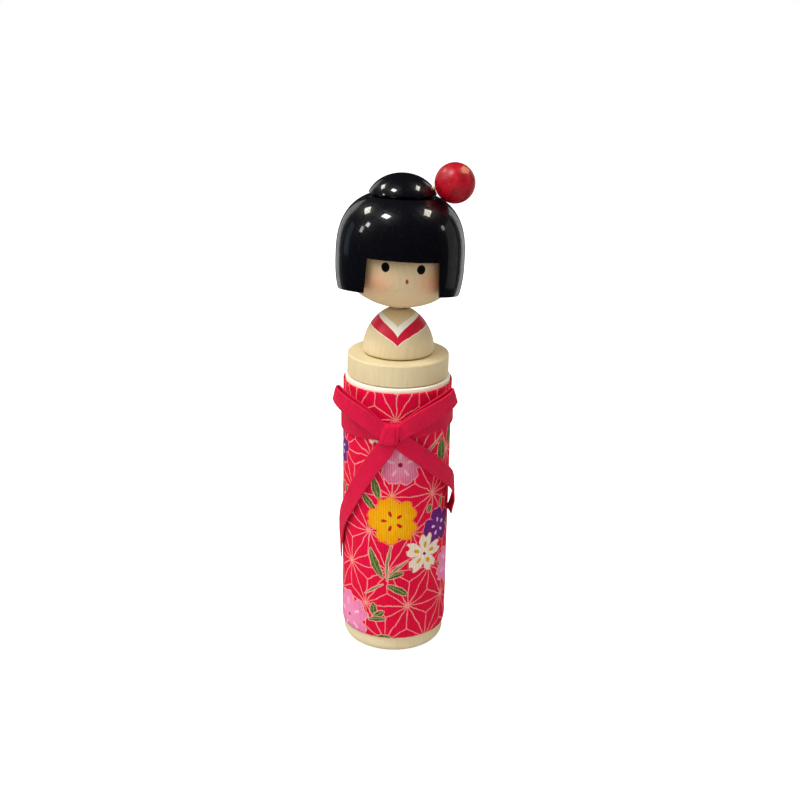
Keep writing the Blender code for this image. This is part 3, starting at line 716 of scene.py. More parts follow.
def make_bead_paint(centre, radius):
    """Red paint with brush marks, rubbed through to the wood on its upper right."""
    material, nodes, shader = new_finish("bead_paint", 0.4)
    place = nodes.own_place()
    streaks = nodes.place(STREAKS, Place=place, Stroke=0.0005)
    mottle = nodes.noise(place, 380.0, 4.0, 0.6)
    tint = nodes.mix(nodes.step(mottle, 0.35, 0.7), colour(182, 3, 30), colour(136, 0, 18))
    tint = nodes.mix(nodes.math("MULTIPLY", streaks["Specks"], 0.55), tint, colour(236, 120, 110))
    rubbed_at = centre + Vector((0.47, -0.5, 0.73)) * radius
    rubbed = nodes.place(RUBBED, Place=place, Centre=rubbed_at, Radius=1.9 * MM)["Mask"]
    tint = nodes.mix(nodes.math("MULTIPLY", rubbed, 0.6), tint, colour(232, 150, 112))
    scuff = nodes.step(nodes.noise(place, 1500.0, 3.0), 0.64, 0.72)
    tint = nodes.mix(nodes.math("MULTIPLY", scuff, 0.3), tint, colour(240, 110, 110))
    nodes.feed(shader.inputs["Base Color"], tint)
    nodes.feed(shader.inputs["Roughness"], nodes.range(rubbed, 0.36, 0.6))
    height = nodes.math("SUBTRACT", streaks["Height"], nodes.math("MULTIPLY", rubbed, 0.5))
    raise_surface(nodes, shader, height, 0.00008, 0.6)
    return material


CLOTH_RED = colour(248, 0, 72)
CLOTH_DEEP = colour(224, 0, 54)
LINE_PINK = colour(255, 158, 148)

# Printed leaves and stems: middle round the cloth and up it, turn in degrees, length and width, all in mm
LEAVES = [
    (-7.0, 65.3, 106, 9.0, 2.8), (-9.8, 59.6, 133, 7.8, 2.6), (18.5, 77.6, 94, 9.0, 4.4),
    (24.6, 82.0, 82, 9.0, 4.0), (14.2, 80.6, 42, 11.0, 0.7), (-7.0, 36.3, 113, 12.5, 2.9),
    (0.6, 32.2, 22, 6.2, 2.2), (1.6, 26.2, -28, 9.0, 2.5), (-2.3, 37.6, 82, 16.0, 0.8),
    (1.2, 34.9, 42, 10.0, 0.8), (-7.4, 26.0, 36, 9.0, 0.8), (-7.2, 17.6, 100, 5.6, 2.4),
    (-5.6, 15.6, 40, 6.0, 2.4), (-6.0, 13.9, 8, 7.0, 1.9), (19.4, 34.2, 75, 4.6, 2.2),
    (13.0, 56.8, 72, 3.6, 1.9), (19.0, 58.0, 80, 5.0, 1.2), (-26.0, 24.0, 85, 8.0, 2.6),
    (-3.6, 6.6, 10, 6.0, 2.2), (-22.0, 60.0, 120, 8.0, 2.4), (27.0, 48.0, 60, 8.0, 2.4),
]

YELLOW = dict(Petal=colour(255, 214, 10), Petal_Rim=colour(252, 150, 0), Outline=colour(246, 110, 50),
              Stroke=colour(214, 24, 24), Stroke_At=0.31, Stroke_Length=1.15, Stroke_Width=0.62,
              Notch=0.06, Gap=0.3)
MAUVE = dict(Petal=colour(240, 164, 184), Petal_Rim=colour(222, 90, 134), Outline=colour(250, 168, 180),
             Stroke=colour(240, 178, 196), Stroke_At=0.45, Stroke_Length=1.4, Notch=0.04, Gap=0.28, Eye=0.85)
WHITE = dict(Petal=colour(255, 244, 226), Petal_Rim=colour(250, 222, 200), Outline=colour(222, 80, 80),
             Stroke=colour(226, 170, 20), Stroke_At=0.4, Stroke_Length=1.2, Stroke_Width=0.7,
             Notch=0.2, Gap=0.72, Eye=0.6)
PURPLE = dict(Petal=colour(128, 40, 140), Petal_Rim=colour(100, 28, 116), Outline=colour(246, 140, 160),
              Stroke=colour(236, 206, 240), Stroke_At=0.34, Stroke_Length=0.95, Notch=0.06, Gap=0.42)
PINK = dict(Petal=colour(252, 168, 208), Petal_Rim=colour(246, 118, 172), Outline=colour(252, 190, 190),
            Stroke=colour(254, 204, 222), Stroke_At=0.5, Stroke_Length=1.6, Notch=0.1, Gap=0.4, Eye=0.5)

# Printed flowers: kind, middle round the cloth and up it, radius in mm, turn in degrees
FLOWERS = [
    (MAUVE, 1.6, 74.8, 7.8, 18), (PURPLE, 17.8, 48.6, 7.6, 100), (PURPLE, -26.6, 76.0, 6.6, 20),
    (WHITE, -9.2, 87.0, 5.6, 0), (PINK, 25.6, 31.0, 8.2, 60), (PINK, -18.8, 11.8, 9.6, 30),
    (YELLOW, -0.8, 53.4, 9.3, 36), (WHITE, 11.3, 39.6, 8.2, 84), (WHITE, 29.9, 14.0, 4.6, 40),
    (YELLOW, 29.9, 64.0, 4.8, 70),
]


# The first star of the hemp leaf lines and how far their rows lean, in mm on the flat cloth
FIRST_STAR = (-2.9, 5.5, 0.0)
PRINT_LEAN = 0.03
PRINT_BANDS = 4


def make_kimono_print(band):
    """Red ribbed cotton, printed with hemp leaf lines and the flowers that reach into one band of
    its height."""
    tall = (cloth_high.z - cloth_low.z) / MM / PRINT_BANDS
    bottom = cloth_low.z / MM + tall * band

    def reaches(up, reach):
        return bottom - reach - 1.0 < up < bottom + tall + reach + 1.0

    material, nodes, shader = new_finish(f"kimono_print_{band + 1}", 0.82, Specular_IOR_Level=0.15)
    print_place = nodes.cloth_place()
    weave = nodes.place(WEAVE, Place=print_place, Rib=0.62, Thread=0.5)
    faded = nodes.noise(print_place, 0.05, 3.0)
    tint = nodes.mix(faded, CLOTH_RED, CLOTH_DEEP)
    spot = nodes.split(nodes.vector("SUBTRACT", print_place, FIRST_STAR))
    upright = nodes.math("MULTIPLY_ADD", spot["Y"], -PRINT_LEAN, spot["X"])
    lines = nodes.place(HEMP, Place=nodes.join(upright, spot["Y"]))["Mask"]
    tint = nodes.mix(lines, tint, LINE_PINK)
    drawn_place = nodes.warp(print_place, 0.5, 2.0, 0.9)
    for around, up, turn, length, width in LEAVES:
        if not reaches(up, length / 2):
            continue
        tint = nodes.place(
            LEAF, Place=drawn_place, Ground=tint, Centre_X=around, Centre_Y=up,
            Turn=math.radians(turn), Length=length, Width=width,
        )["Color"]
    for kind, around, up, radius, turn in FLOWERS:
        if not reaches(up, radius):
            continue
        tint = nodes.place(
            BLOSSOM, Place=drawn_place, Ground=tint, Centre_X=around, Centre_Y=up,
            Radius=radius, Turn=math.radians(turn), **kind,
        )["Color"]
    # The weave's Shade multiplies the print darker in the hollows of the weave: painted shade between the
    # ribs.
    woven = nodes.add("ShaderNodeMix", data_type="RGBA", blend_type="MULTIPLY")
    nodes.feed(woven.inputs[0], 0.6)
    nodes.feed(woven.inputs[6], tint)
    nodes.feed(woven.inputs[7], nodes.mix(weave["Shade"], colour(168, 160, 160), colour(255, 255, 255)))
    nodes.feed(shader.inputs["Base Color"], woven.outputs[2])
    nodes.feed(shader.inputs["Roughness"], nodes.range(weave["Shade"], 0.9, 0.74))
    raise_surface(nodes, shader, weave["Height"], 0.00014, 0.7)
    return material


def make_ribbon_weave():
    """Grosgrain: fine ribs across the ribbon, and a firmer selvedge along its edges."""
    material, nodes, shader = new_finish("ribbon_weave", 0.66, Specular_IOR_Level=0.22)
    place = nodes.cloth_place()
    spot = nodes.split(place)
    across = spot["X"]
    weave = nodes.place(WEAVE, Place=nodes.join(spot["Y"], across), Rib=0.52, Thread=0.3)
    faded = nodes.noise(place, 0.2, 3.0)
    # Darker red in the weave's hollows is painted shade between the ribs; the rest of the change is faded
    # tone at random.
    tint = nodes.mix(nodes.math("MULTIPLY_ADD", weave["Shade"], 0.4, nodes.math("MULTIPLY", faded, 0.6)),
                     colour(190, 0, 48), colour(240, 8, 72))
    to_edge = nodes.math("SUBTRACT", RIBBON_WIDTH / MM / 2, nodes.math("ABSOLUTE", across))
    selvedge = nodes.step(to_edge, 0.5, 0.25)
    tint = nodes.mix(nodes.math("MULTIPLY", selvedge, 0.35), tint, colour(240, 44, 84))
    nodes.feed(shader.inputs["Base Color"], tint)
    nodes.feed(shader.inputs["Roughness"], nodes.range(weave["Shade"], 0.76, 0.56))
    raise_surface(nodes, shader, nodes.math("MULTIPLY_ADD", selvedge, 0.6, weave["Height"]), 0.00016, 0.9)
    return material


def make_thread():
    """Loose red cotton fibre, paler where it thins."""
    material, nodes, shader = new_finish("loose_thread", 0.9)
    place = nodes.own_place()
    tint = nodes.mix(nodes.noise(place, 800.0, 2.0), colour(224, 20, 62), colour(250, 120, 130))
    nodes.feed(shader.inputs["Base Color"], tint)
    raise_surface(nodes, shader, nodes.noise(place, 9000.0, 1.0), 0.00002)
    return material


# ---------------------------------------------------------------- mesh tools

def add_piece(name, mesh, material, body, replaced=()):
    """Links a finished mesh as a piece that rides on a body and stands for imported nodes."""
    piece = bpy.data.objects.new(name, mesh)
    bpy.context.scene.collection.objects.link(piece)
    mesh.materials.clear()
    mesh.materials.append(material)
    for face in mesh.polygons:
        face.use_smooth = True
    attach(piece, body)
    if replaced:
        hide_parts(*replaced)
    return piece


def turned(name, outline, sides=SIDES, pose=Matrix.Identity(4), shift=None):
    """Turns (radius, height) points from axis to axis about Z, then shifts and poses the result."""
    shape = bmesh.new()
    points = [shape.verts.new((radius, 0.0, height)) for radius, height in outline]
    edges = [shape.edges.new(pair) for pair in zip(points, points[1:])]
    bmesh.ops.spin(
        shape, geom=points + edges, cent=(0, 0, 0), axis=(0, 0, 1),
        angle=math.tau, steps=sides, use_merge=True,
    )
    bmesh.ops.remove_doubles(shape, verts=shape.verts, dist=0.0005 * MM)
    bmesh.ops.recalc_face_normals(shape, faces=shape.faces)
    if shift:
        for vertex in shape.verts:
            vertex.co = shift(vertex.co)
    mesh = bpy.data.meshes.new(name)
    shape.to_mesh(mesh)
    shape.free()
    mesh.transform(pose)
    mesh.set_sharp_from_angle(angle=math.radians(38))
    return mesh


def rounded(centre_radius, centre_height, size, start, end, steps=6):
    """Points of an arc, with angles in degrees from the outward horizontal."""
    angles = [math.radians(start + (end - start) * step / steps) for step in range(steps + 1)]
    return [
        (centre_radius + size * math.cos(angle), centre_height + size * math.sin(angle))
        for angle in angles
    ]


def reach_of(share, power):
    return max(0.0, 1.0 - abs(share) ** power) ** (1.0 / power)


def bulge(radius, middle, rise, power, start, end, steps):
    """Points of a superellipse from the sine start to the sine end of its rise above the middle."""
    first = math.asin(start)
    last = math.asin(end)
    points = []
    for step in range(steps + 1):
        share = math.sin(first + (last - first) * step / steps)
        points.append((radius * reach_of(share, power), middle + rise * share))
    return points


def grid_mesh(name, rows, laid_out=None):
    """Quads between rows of points. laid_out gives each point's place on the flat cloth."""
    wide = len(rows[0])
    points = [point for row in rows for point in row]
    faces = []
    for row in range(len(rows) - 1):
        for column in range(wide - 1):
            corner = row * wide + column
            faces.append((corner, corner + 1, corner + wide + 1, corner + wide))
    mesh = bpy.data.meshes.new(name)
    mesh.from_pydata(points, [], faces)
    if laid_out:
        flat = [place for row in laid_out for place in row]
        layer = mesh.uv_layers.new(name="cloth")
        for loop in mesh.loops:
            layer.data[loop.index].uv = flat[loop.vertex_index]
    return mesh


def thicken(piece, thickness, offset=0.0):
    solidify = piece.modifiers.new("thickness", "SOLIDIFY")
    solidify.thickness = thickness
    solidify.offset = offset
    solidify.use_even_offset = True


# ---------------------------------------------------------------- wood

def make_cup():
    bore = cup_radius - CUP_WALL
    outline = [(0.0, 0.35 * MM), (cup_radius - FOOT_ROUND - 1.5 * MM, 0.35 * MM)]
    outline += [(cup_radius - FOOT_ROUND - 0.9 * MM, 0.0)]
    outline += rounded(cup_radius - FOOT_ROUND, FOOT_ROUND, FOOT_ROUND, -90, 0, 14)
    outline += [(cup_radius, cup_top / 2)]
    outline += rounded(cup_radius - RIM_ROUND, cup_top - RIM_ROUND, RIM_ROUND, 0, 90, 5)
    outline += rounded(bore + RIM_ROUND, cup_top - RIM_ROUND, RIM_ROUND, 90, 180, 5)
    outline += rounded(bore - BORE_CORNER, CUP_FLOOR + BORE_CORNER, BORE_CORNER, 0, -90, 8)
    outline += [(0.0, CUP_FLOOR)]
    mesh = turned("turned_cup", outline)
    add_piece("turned_cup", mesh, make_cup_wood(), "body", ["body_cup"])


def make_lid():
    lid_radius = cup_radius - LID_INSET
    seat = cup_top + SPIGOT_GAP
    spigot = cup_radius - CUP_WALL - SPIGOT_GAP
    top = lid_high.z
    outline = [(0.0, lid_low.z), (spigot - SPIGOT_CHAMFER, lid_low.z)]
    outline += [(spigot, lid_low.z + SPIGOT_CHAMFER), (spigot, seat), (lid_radius - 0.3 * MM, seat)]
    outline += [(lid_radius, seat + 0.3 * MM)]
    outline += rounded(lid_radius - LID_ROUND, top - LID_ROUND, LID_ROUND, 0, 90)
    outline += [(PEG_HOLE, top), (PEG_HOLE, top - PEG_HOLE_DEPTH), (0.0, top - PEG_HOLE_DEPTH)]
    wood = make_bare_wood("lid_wood", colour(224, 208, 168), colour(198, 178, 131), (-0.032, 0.024))
    add_piece("turned_lid", turned("turned_lid", outline), wood, "doll_top", ["lid_plug"])


def neck_pose():
    """The neck joint's place, turned as the head rests."""
    return Matrix.Translation(Vector(neck["pos_m"])) @ HEAD_POSE.to_matrix().to_4x4()


def make_bust():
    """Shoulders that rise to a narrow neck, with a blind socket for the neck peg."""
    foot = bust_low.z
    tall = bust_high.z - foot
    shoulder = []
    steps = 28
    for step in range(1, steps + 1):
        height = tall * math.sin(math.pi / 2 * step / steps)
        reach = BUST_RADIUS * (1 - (height / BUST_SPAN) ** BUST_POWER_UP) ** (1 / BUST_POWER_OUT)
        shoulder.append((reach, foot + height))
    outline = [(0.0, foot + PEG_HOLE_DEPTH), (PEG_HOLE, foot + PEG_HOLE_DEPTH), (PEG_HOLE, foot)]
    outline += rounded(BUST_RADIUS - BUST_ROUND, foot + BUST_ROUND, BUST_ROUND, -90, 0)
    outline += shoulder
    outline += [(NECK_SOCKET, bust_high.z), (NECK_SOCKET, bust_high.z - NECK_SOCKET_DEPTH)]
    outline += [(0.0, bust_high.z - NECK_SOCKET_DEPTH)]
    mesh = turned("turned_bust", outline)
    add_piece("turned_bust", mesh, make_bust_paint(), "doll_top", ["bust"])


def make_head():
    """A flattened ball whose chin swings a little to the doll's left."""
    middle = HEAD_LIFT + HEAD_LOWER
    top = middle + HEAD_UPPER
    lower = bulge(HEAD_RADIUS, middle, HEAD_LOWER, HEAD_LOWER_POWER, -0.99, 0.0, 26)
    upper = bulge(HEAD_RADIUS, middle, HEAD_UPPER, HEAD_UPPER_POWER, 0.0, 0.985, 22)
    outline = [(0.0, 8.9 * MM), (NECK_SOCKET, 8.9 * MM), (NECK_SOCKET, HEAD_LIFT)] + lower + upper[1:]
    outline += [(CROWN_HOLE, top), (CROWN_HOLE, top - PEG_HOLE_DEPTH), (0.0, top - PEG_HOLE_DEPTH)]

    def swing(point):
        depth = max(0.0, (middle - point.z) / HEAD_LOWER)
        reach = point.xy.length / HEAD_RADIUS
        return point + Vector((CHIN_ASIDE * depth ** 1.5 * min(1.0, reach * 1.6), 0.0, 0.0))

    mesh = turned("turned_head", outline, pose=neck_pose(), shift=swing)
    add_piece("turned_head", mesh, make_face_paint(), "head", ["head"])


# ---------------------------------------------------------------- hair

def hair_outside(height):
    rise = HAIR_UPPER if height > HAIR_WIDEST else HAIR_LOWER
    return HAIR_RADIUS * reach_of((height - HAIR_WIDEST) / rise, HAIR_POWER)


def hair_inside(height):
    middle = HEAD_LIFT + HEAD_LOWER
    if height < middle:
        return HEAD_RADIUS + HAIR_GAP
    return (HEAD_RADIUS + HAIR_GAP) * reach_of((height - middle) / (HEAD_UPPER + HAIR_GAP), HEAD_UPPER_POWER)


def settle(surface, angle, wanted):
    """The point of a turned surface, at an angle from the front, whose height is wanted(x, y)."""
    height = wanted(0.0, 0.0)
    for _ in range(6):
        radius = surface(height)
        height = wanted(radius * math.sin(angle), -radius * math.cos(angle))
    radius = surface(height)
    return Vector((radius * math.sin(angle), -radius * math.cos(angle), height))


def make_hair_shell(lacquer):
    """A lacquered cap. Its rows follow the hem, the fringe and the sides of the face opening, so
    that each cut edge is a clean run of edges to round over."""
    plane = Euler((-HAIR_HEM_RISE, HAIR_CUT_ROLL, 0.0)).to_matrix() @ Vector((0, 0, 1))
    open_columns = 26
    round_columns = 150
    low_rows = 16
    high_rows = 26
    roll = math.tan(HAIR_CUT_ROLL)

    def hem(x, y):
        return HAIR_HEM - (plane.x * x + plane.y * y) / plane.z

    def opening_side(surface, height, side):
        half = FACE_HALF_WIDTH + (FRINGE_HEIGHT - height) * math.tan(FACE_FLARE)
        return side * math.asin(min(0.95, half / surface(height)))

    def angle_at(surface, height, column):
        """Columns run round the back from the opening's right side to its left, then across it."""
        right = opening_side(surface, height, 1)
        left = opening_side(surface, height, -1) + math.tau
        if column <= round_columns:
            return right + (left - right) * column / round_columns
        return left + (right + math.tau - left) * (column - round_columns) / open_columns

    columns = round_columns + open_columns
    shape = bmesh.new()
    crease = shape.edges.layers.float.new("bevel_weight_edge")

    def surface_rows(surface, top):
        """Rows of one wall from its hem to the crown, with None where the face opens."""
        rows = []
        for row in range(low_rows + 1):
            share = row / low_rows
            ring = []
            for column in range(columns):
                if column > round_columns and row < low_rows:
                    ring.append(None)
                    continue
                rough = HAIR_HEM + (FRINGE_HEIGHT - HAIR_HEM) * share
                angle = angle_at(surface, rough, column)

                def level(x, y):
                    return hem(x, y) * (1 - share) + (FRINGE_HEIGHT - x * roll) * share

                ring.append(settle(surface, angle, level))
            rows.append(ring)
        for row in range(1, high_rows + 1):
            share = math.sin(math.pi / 2 * row / high_rows)
            ring = []
            for column in range(columns):
                angle = angle_at(surface, FRINGE_HEIGHT, column)
                start = rows[low_rows][column].z
                height = start + (top - start) * share
                radius = max(CROWN_HOLE, surface(height))
                if row == high_rows:
                    radius = CROWN_HOLE
                ring.append(Vector((radius * math.sin(angle), -radius * math.cos(angle), height)))
            rows.append(ring)
        return [[point and shape.verts.new(point) for point in ring] for ring in rows]

    outer = surface_rows(hair_outside, CROWN_SEAT)
    inner = surface_rows(hair_inside, HEAD_LIFT + HEAD_LOWER + (HEAD_UPPER + HAIR_GAP) * 0.999)

    def face(*corners, weights=()):
        made = shape.faces.new(corners)
        for first, second, weight in weights:
            shape.edges.get((first, second))[crease] = weight
        return made

    for row in range(low_rows + high_rows):
        for column in range(columns):
            after = (column + 1) % columns
            if row < low_rows and column >= round_columns:
                continue
            face(outer[row][column], outer[row][after], outer[row + 1][after], outer[row + 1][column])
            face(inner[row][column], inner[row + 1][column], inner[row + 1][after], inner[row][after])
    for column in range(columns):
        after = (column + 1) % columns
        low = low_rows if column >= round_columns else 0
        weight = 1.0 if column >= round_columns else 0.3
        pair = outer[low][column], outer[low][after]
        other = inner[low][column], inner[low][after]
        face(pair[1], pair[0], other[0], other[1], weights=[(*pair, weight), (*other, weight * 0.5)])
        face(outer[-1][column], outer[-1][after], inner[-1][after], inner[-1][column])
    for row in range(low_rows):
        for column, weight in ((0, 1.0), (round_columns, 1.0)):
            pair = outer[row][column], outer[row + 1][column]
            other = inner[row][column], inner[row + 1][column]
            face(pair[0], pair[1], other[1], other[0], weights=[(*pair, weight), (*other, weight * 0.5)])
    bmesh.ops.recalc_face_normals(shape, faces=shape.faces)
    mesh = bpy.data.meshes.new("hair_cap")
    shape.to_mesh(mesh)
    shape.free()
    mesh.transform(neck_pose())
    piece = add_piece("hair_cap", mesh, lacquer, "head", ["hair_shell"])
    soften = piece.modifiers.new("rounded edges", "BEVEL")
    soften.limit_method = "WEIGHT"
    soften.width = 0.75 * MM
    soften.segments = 4
    mesh.set_sharp_from_angle(angle=math.radians(60))


def make_bun(lacquer):
    edge = (BUN_BOTTOM + BUN_UNDERCUT - BUN_MIDDLE) / BUN_DOME
    dome = bulge(BUN_RADIUS, BUN_MIDDLE, BUN_DOME, 2.0, edge, 1.0, 34)
    lip = dome[0][0]
    hole_top = BUN_BOTTOM + PEG_HOLE_DEPTH
    outline = [(0.0, hole_top), (CROWN_HOLE, hole_top), (CROWN_HOLE, BUN_BOTTOM)]
    outline += [(lip - BUN_UNDERCUT, BUN_BOTTOM), (lip - 0.25 * MM, BUN_BOTTOM + 0.35 * MM)]
    outline += dome[:-1] + [(0.0, BUN_MIDDLE + BUN_DOME)]
    mesh = turned("hair_bun_cap", outline, pose=neck_pose())
    add_piece("hair_bun_cap", mesh, lacquer, "head", ["hair_bun"])


def make_bead():
    """A painted wooden bead, bored for its pin, not quite round."""
    low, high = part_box("hair_bead")
    centre = (low + high) / 2
    radius = (high.z - low.z) / 2
    pin_low, pin_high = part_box("bead_pin")
    out = Vector((pin_high.x - pin_low.x, pin_low.y - pin_high.y, pin_high.z - pin_low.z)).normalized()
    lowest = -math.sqrt(1 - (BEAD_HOLE / radius) ** 2)
    floor = -radius + BEAD_HOLE_DEPTH
    outline = [(0.0, floor), (BEAD_HOLE, floor)]
    outline += bulge(radius, 0.0, radius, 2.0, lowest, 1.0, 44)[:-1] + [(0.0, radius)]
    pose = Matrix.Translation(centre) @ out.to_track_quat("Z", "X").to_matrix().to_4x4()

    def uneven(point):
        return point * (1 + 0.006 * noise.noise(point / (3.5 * MM)))

    mesh = turned("painted_bead", outline, 96, pose, shift=uneven)
    add_piece("painted_bead", mesh, make_bead_paint(centre, radius), "head", ["hair_bead"])


# ---------------------------------------------------------------- kimono

def make_kimono():
    """A sheet wrapped round the cup. Its far end laps over its near end at the back."""
    radius = cloth_radius - CLOTH_THICKNESS / 2
    columns = 260
    rows_up = 96
    start = -CLOTH_CUT_WIDTH / 2
    rows = []
    flat = []
    for row in range(rows_up + 1):
        share = row / rows_up
        rows.append([])
        flat.append([])
        for column in range(columns + 1):
            along = start + CLOTH_CUT_WIDTH * column / columns
            angle = along / radius
            height = cloth_low.z + (cloth_high.z - cloth_low.z) * share
            ragged = 0.16 * MM * noise.noise(Vector((along / (1.3 * MM), share * 3.0, 4.0)))
            height += ragged * (abs(share - 0.5) * 2) ** 12
            ends_at = -start - along
            lap = LAP_RISE * (1 - min(1.0, max(0.0, (ends_at - 4.2 * MM) / (2.5 * MM))))
            ease = 0.07 * MM * noise.noise(Vector((along / (9 * MM), height / (16 * MM), 1.0)))
            tuck = 0.28 * MM * max(0.0, 1 - (height - cloth_low.z) / (2.6 * MM)) ** 2
            out = radius + lap + ease - tuck
            rows[-1].append(Vector((out * math.sin(angle), -out * math.cos(angle), height)))
            flat[-1].append((along, height))
    mesh = grid_mesh("kimono", rows, flat)
    prints = [make_kimono_print(band) for band in range(PRINT_BANDS)]
    piece = add_piece("kimono", mesh, prints[0], "body", ["kimono_wrap"])
    for cloth in prints[1:]:
        mesh.materials.append(cloth)
    for face in mesh.polygons:
        face.material_index = face.index * PRINT_BANDS // len(mesh.polygons)
    thicken(piece, CLOTH_THICKNESS)


def make_fray_tree():
    """Loose fibres set along a circle, each a thin tapered spike that leans its own way."""
    tree = bpy.data.node_groups.new("frayed edge", "GeometryNodeTree")
    for title, kind in (("Radius", "Float"), ("Height", "Float"), ("Count", "Int"), ("Length", "Float"),
                        ("Thickness", "Float"), ("Tilt", "Float"), ("Seed", "Int")):
        tree.interface.new_socket(title, in_out="INPUT", socket_type="NodeSocket" + kind)
    tree.interface.new_socket("Material", in_out="INPUT", socket_type="NodeSocketMaterial")
    tree.interface.new_socket("Geometry", in_out="OUTPUT", socket_type="NodeSocketGeometry")
    nodes = Nodes(tree)
    given = nodes.add("NodeGroupInput").outputs
    ring = nodes.add("GeometryNodeCurvePrimitiveCircle", {"Resolution": 128, "Radius": given["Radius"]})
    points = nodes.add("GeometryNodeCurveToPoints", {"Curve": ring.outputs[0], "Count": given["Count"]})
    lift = nodes.add("ShaderNodeCombineXYZ", {"Z": given["Height"]})
    scatter = nodes.add("FunctionNodeRandomValue", data_type="FLOAT_VECTOR")
    nodes.feed(scatter.inputs[0], (-0.0004, -0.0004, -0.0001))
    nodes.feed(scatter.inputs[1], (0.0004, 0.0004, 0.0001))
    nodes.feed(scatter.inputs["Seed"], given["Seed"])
    move = nodes.add("ShaderNodeVectorMath", operation="ADD")
    nodes.feed(move.inputs[0], lift.outputs[0])
    nodes.feed(move.inputs[1], nodes.vector("MULTIPLY", scatter.outputs[0], (0.35, 0.35, 1.0)))
    moved = {"Geometry": points.outputs[0], "Offset": move.outputs[0]}
    set_points = nodes.add("GeometryNodeSetPosition", moved)
    spike = nodes.add("GeometryNodeMeshCone", {
        "Vertices": 5, "Radius Top": FRAY_TIP, "Radius Bottom": given["Thickness"], "Depth": given["Length"],
    })
    lean = nodes.add("FunctionNodeRandomValue", data_type="FLOAT_VECTOR")
    nodes.feed(lean.inputs[0], (-0.55, -0.55, 0.0))
    nodes.feed(lean.inputs[1], (0.55, 0.55, math.tau))
    nodes.feed(lean.inputs["Seed"], given["Seed"])
    over = nodes.add("ShaderNodeCombineXYZ", {"X": given["Tilt"]})
    tilt = nodes.vector("ADD", lean.outputs[0], over.outputs[0])
    turn = nodes.add("FunctionNodeEulerToRotation", {"Euler": tilt})
    size = nodes.add("FunctionNodeRandomValue", data_type="FLOAT")
    nodes.feed(size.inputs[2], 0.35)
    nodes.feed(size.inputs[3], 1.0)
    nodes.feed(size.inputs["Seed"], given["Seed"])
    spread = nodes.add("GeometryNodeInstanceOnPoints", {
        "Points": set_points.outputs[0], "Instance": spike.outputs["Mesh"],
        "Rotation": turn.outputs[0], "Scale": size.outputs[1],
    })
    real = nodes.add("GeometryNodeRealizeInstances", {"Geometry": spread.outputs[0]})
    coat = {"Geometry": real.outputs[0], "Material": given["Material"]}
    painted = nodes.add("GeometryNodeSetMaterial", coat)
    nodes.add("NodeGroupOutput", {"Geometry": painted.outputs[0]})
    return tree


def bake_tree(name, tree, values):
    """Runs a Geometry Nodes tree with its inputs set, and returns the result as a plain mesh."""
    holder = bpy.data.objects.new(name, bpy.data.meshes.new(name))
    bpy.context.scene.collection.objects.link(holder)
    modifier = holder.modifiers.new(name, "NODES")
    modifier.node_group = tree
    for item in tree.interface.items_tree:
        if item.item_type == "SOCKET" and item.in_out == "INPUT":
            modifier[item.identifier] = values[item.name]
    graph = bpy.context.evaluated_depsgraph_get()
    mesh = bpy.data.meshes.new_from_object(holder.evaluated_get(graph))
    bpy.data.objects.remove(holder, do_unlink=True)
    return mesh


# Loose fibres along one edge of the cloth: how many, how long, and their radius at the root and the tip
FRAY_COUNT = 420
FRAY_LENGTH = 0.55 * MM
FRAY_THICKNESS = 0.05 * MM
FRAY_TIP = 0.012 * MM


def make_frayed_edges():
    tree = make_fray_tree()
    thread = make_thread()
    for name, height, tilt, seed in (
        ("fray_top", cloth_high.z + 0.05 * MM, 0.0, 3), ("fray_hem", cloth_low.z - 0.05 * MM, math.pi, 8),
    ):
        radius = cloth_radius - CLOTH_THICKNESS / 2 - (0.2 * MM if name == "fray_hem" else 0.0)
        mesh = bake_tree(name, tree, {
            "Radius": radius, "Height": height, "Count": FRAY_COUNT, "Length": FRAY_LENGTH,
            "Thickness": FRAY_THICKNESS, "Tilt": tilt, "Seed": seed, "Material": thread,
        })
        add_piece(name, mesh, thread, "body")


# ---------------------------------------------------------------- ribbon, laid out round the body

band_radius = band_high.x - PACKED_RIBBON / 2
over_band = band_radius + RIBBON_THICKNESS + LAYER_GAP
knot_radius = band_radius + RIBBON_THICKNESS / 2 + LAYER_GAP + KNOT_THICKNESS / 2


def laid(around, height, outward=0.0):
    """A route point: its way round the body from the front, its height above the waist, and how far
    it stands out from a strip that lies over the band."""
    return Vector((around, waist + height, over_band + outward))


def on_body(point):
    """The place in space of a route point."""
    angle = point.x / over_band
    return Vector((point.z * math.sin(angle), -point.z * math.cos(angle), point.y))


def smooth_route(points, steps):
    """Catmull-Rom curve through the points, with equal steps between them."""
    ends = [2 * points[0] - points[1]] + points + [2 * points[-1] - points[-2]]
    route = []
    for index in range(1, len(ends) - 2):
        before, start, end, after = ends[index - 1:index + 3]
        for step in range(steps):
            t = step / steps
            straight = 2 * start + (end - before) * t
            bend = (2 * before - 5 * start + 4 * end - after) * t ** 2
            twist = (3 * start - before - 3 * end + after) * t ** 3
            route.append(0.5 * (straight + bend + twist))
    return route + [points[-1]]


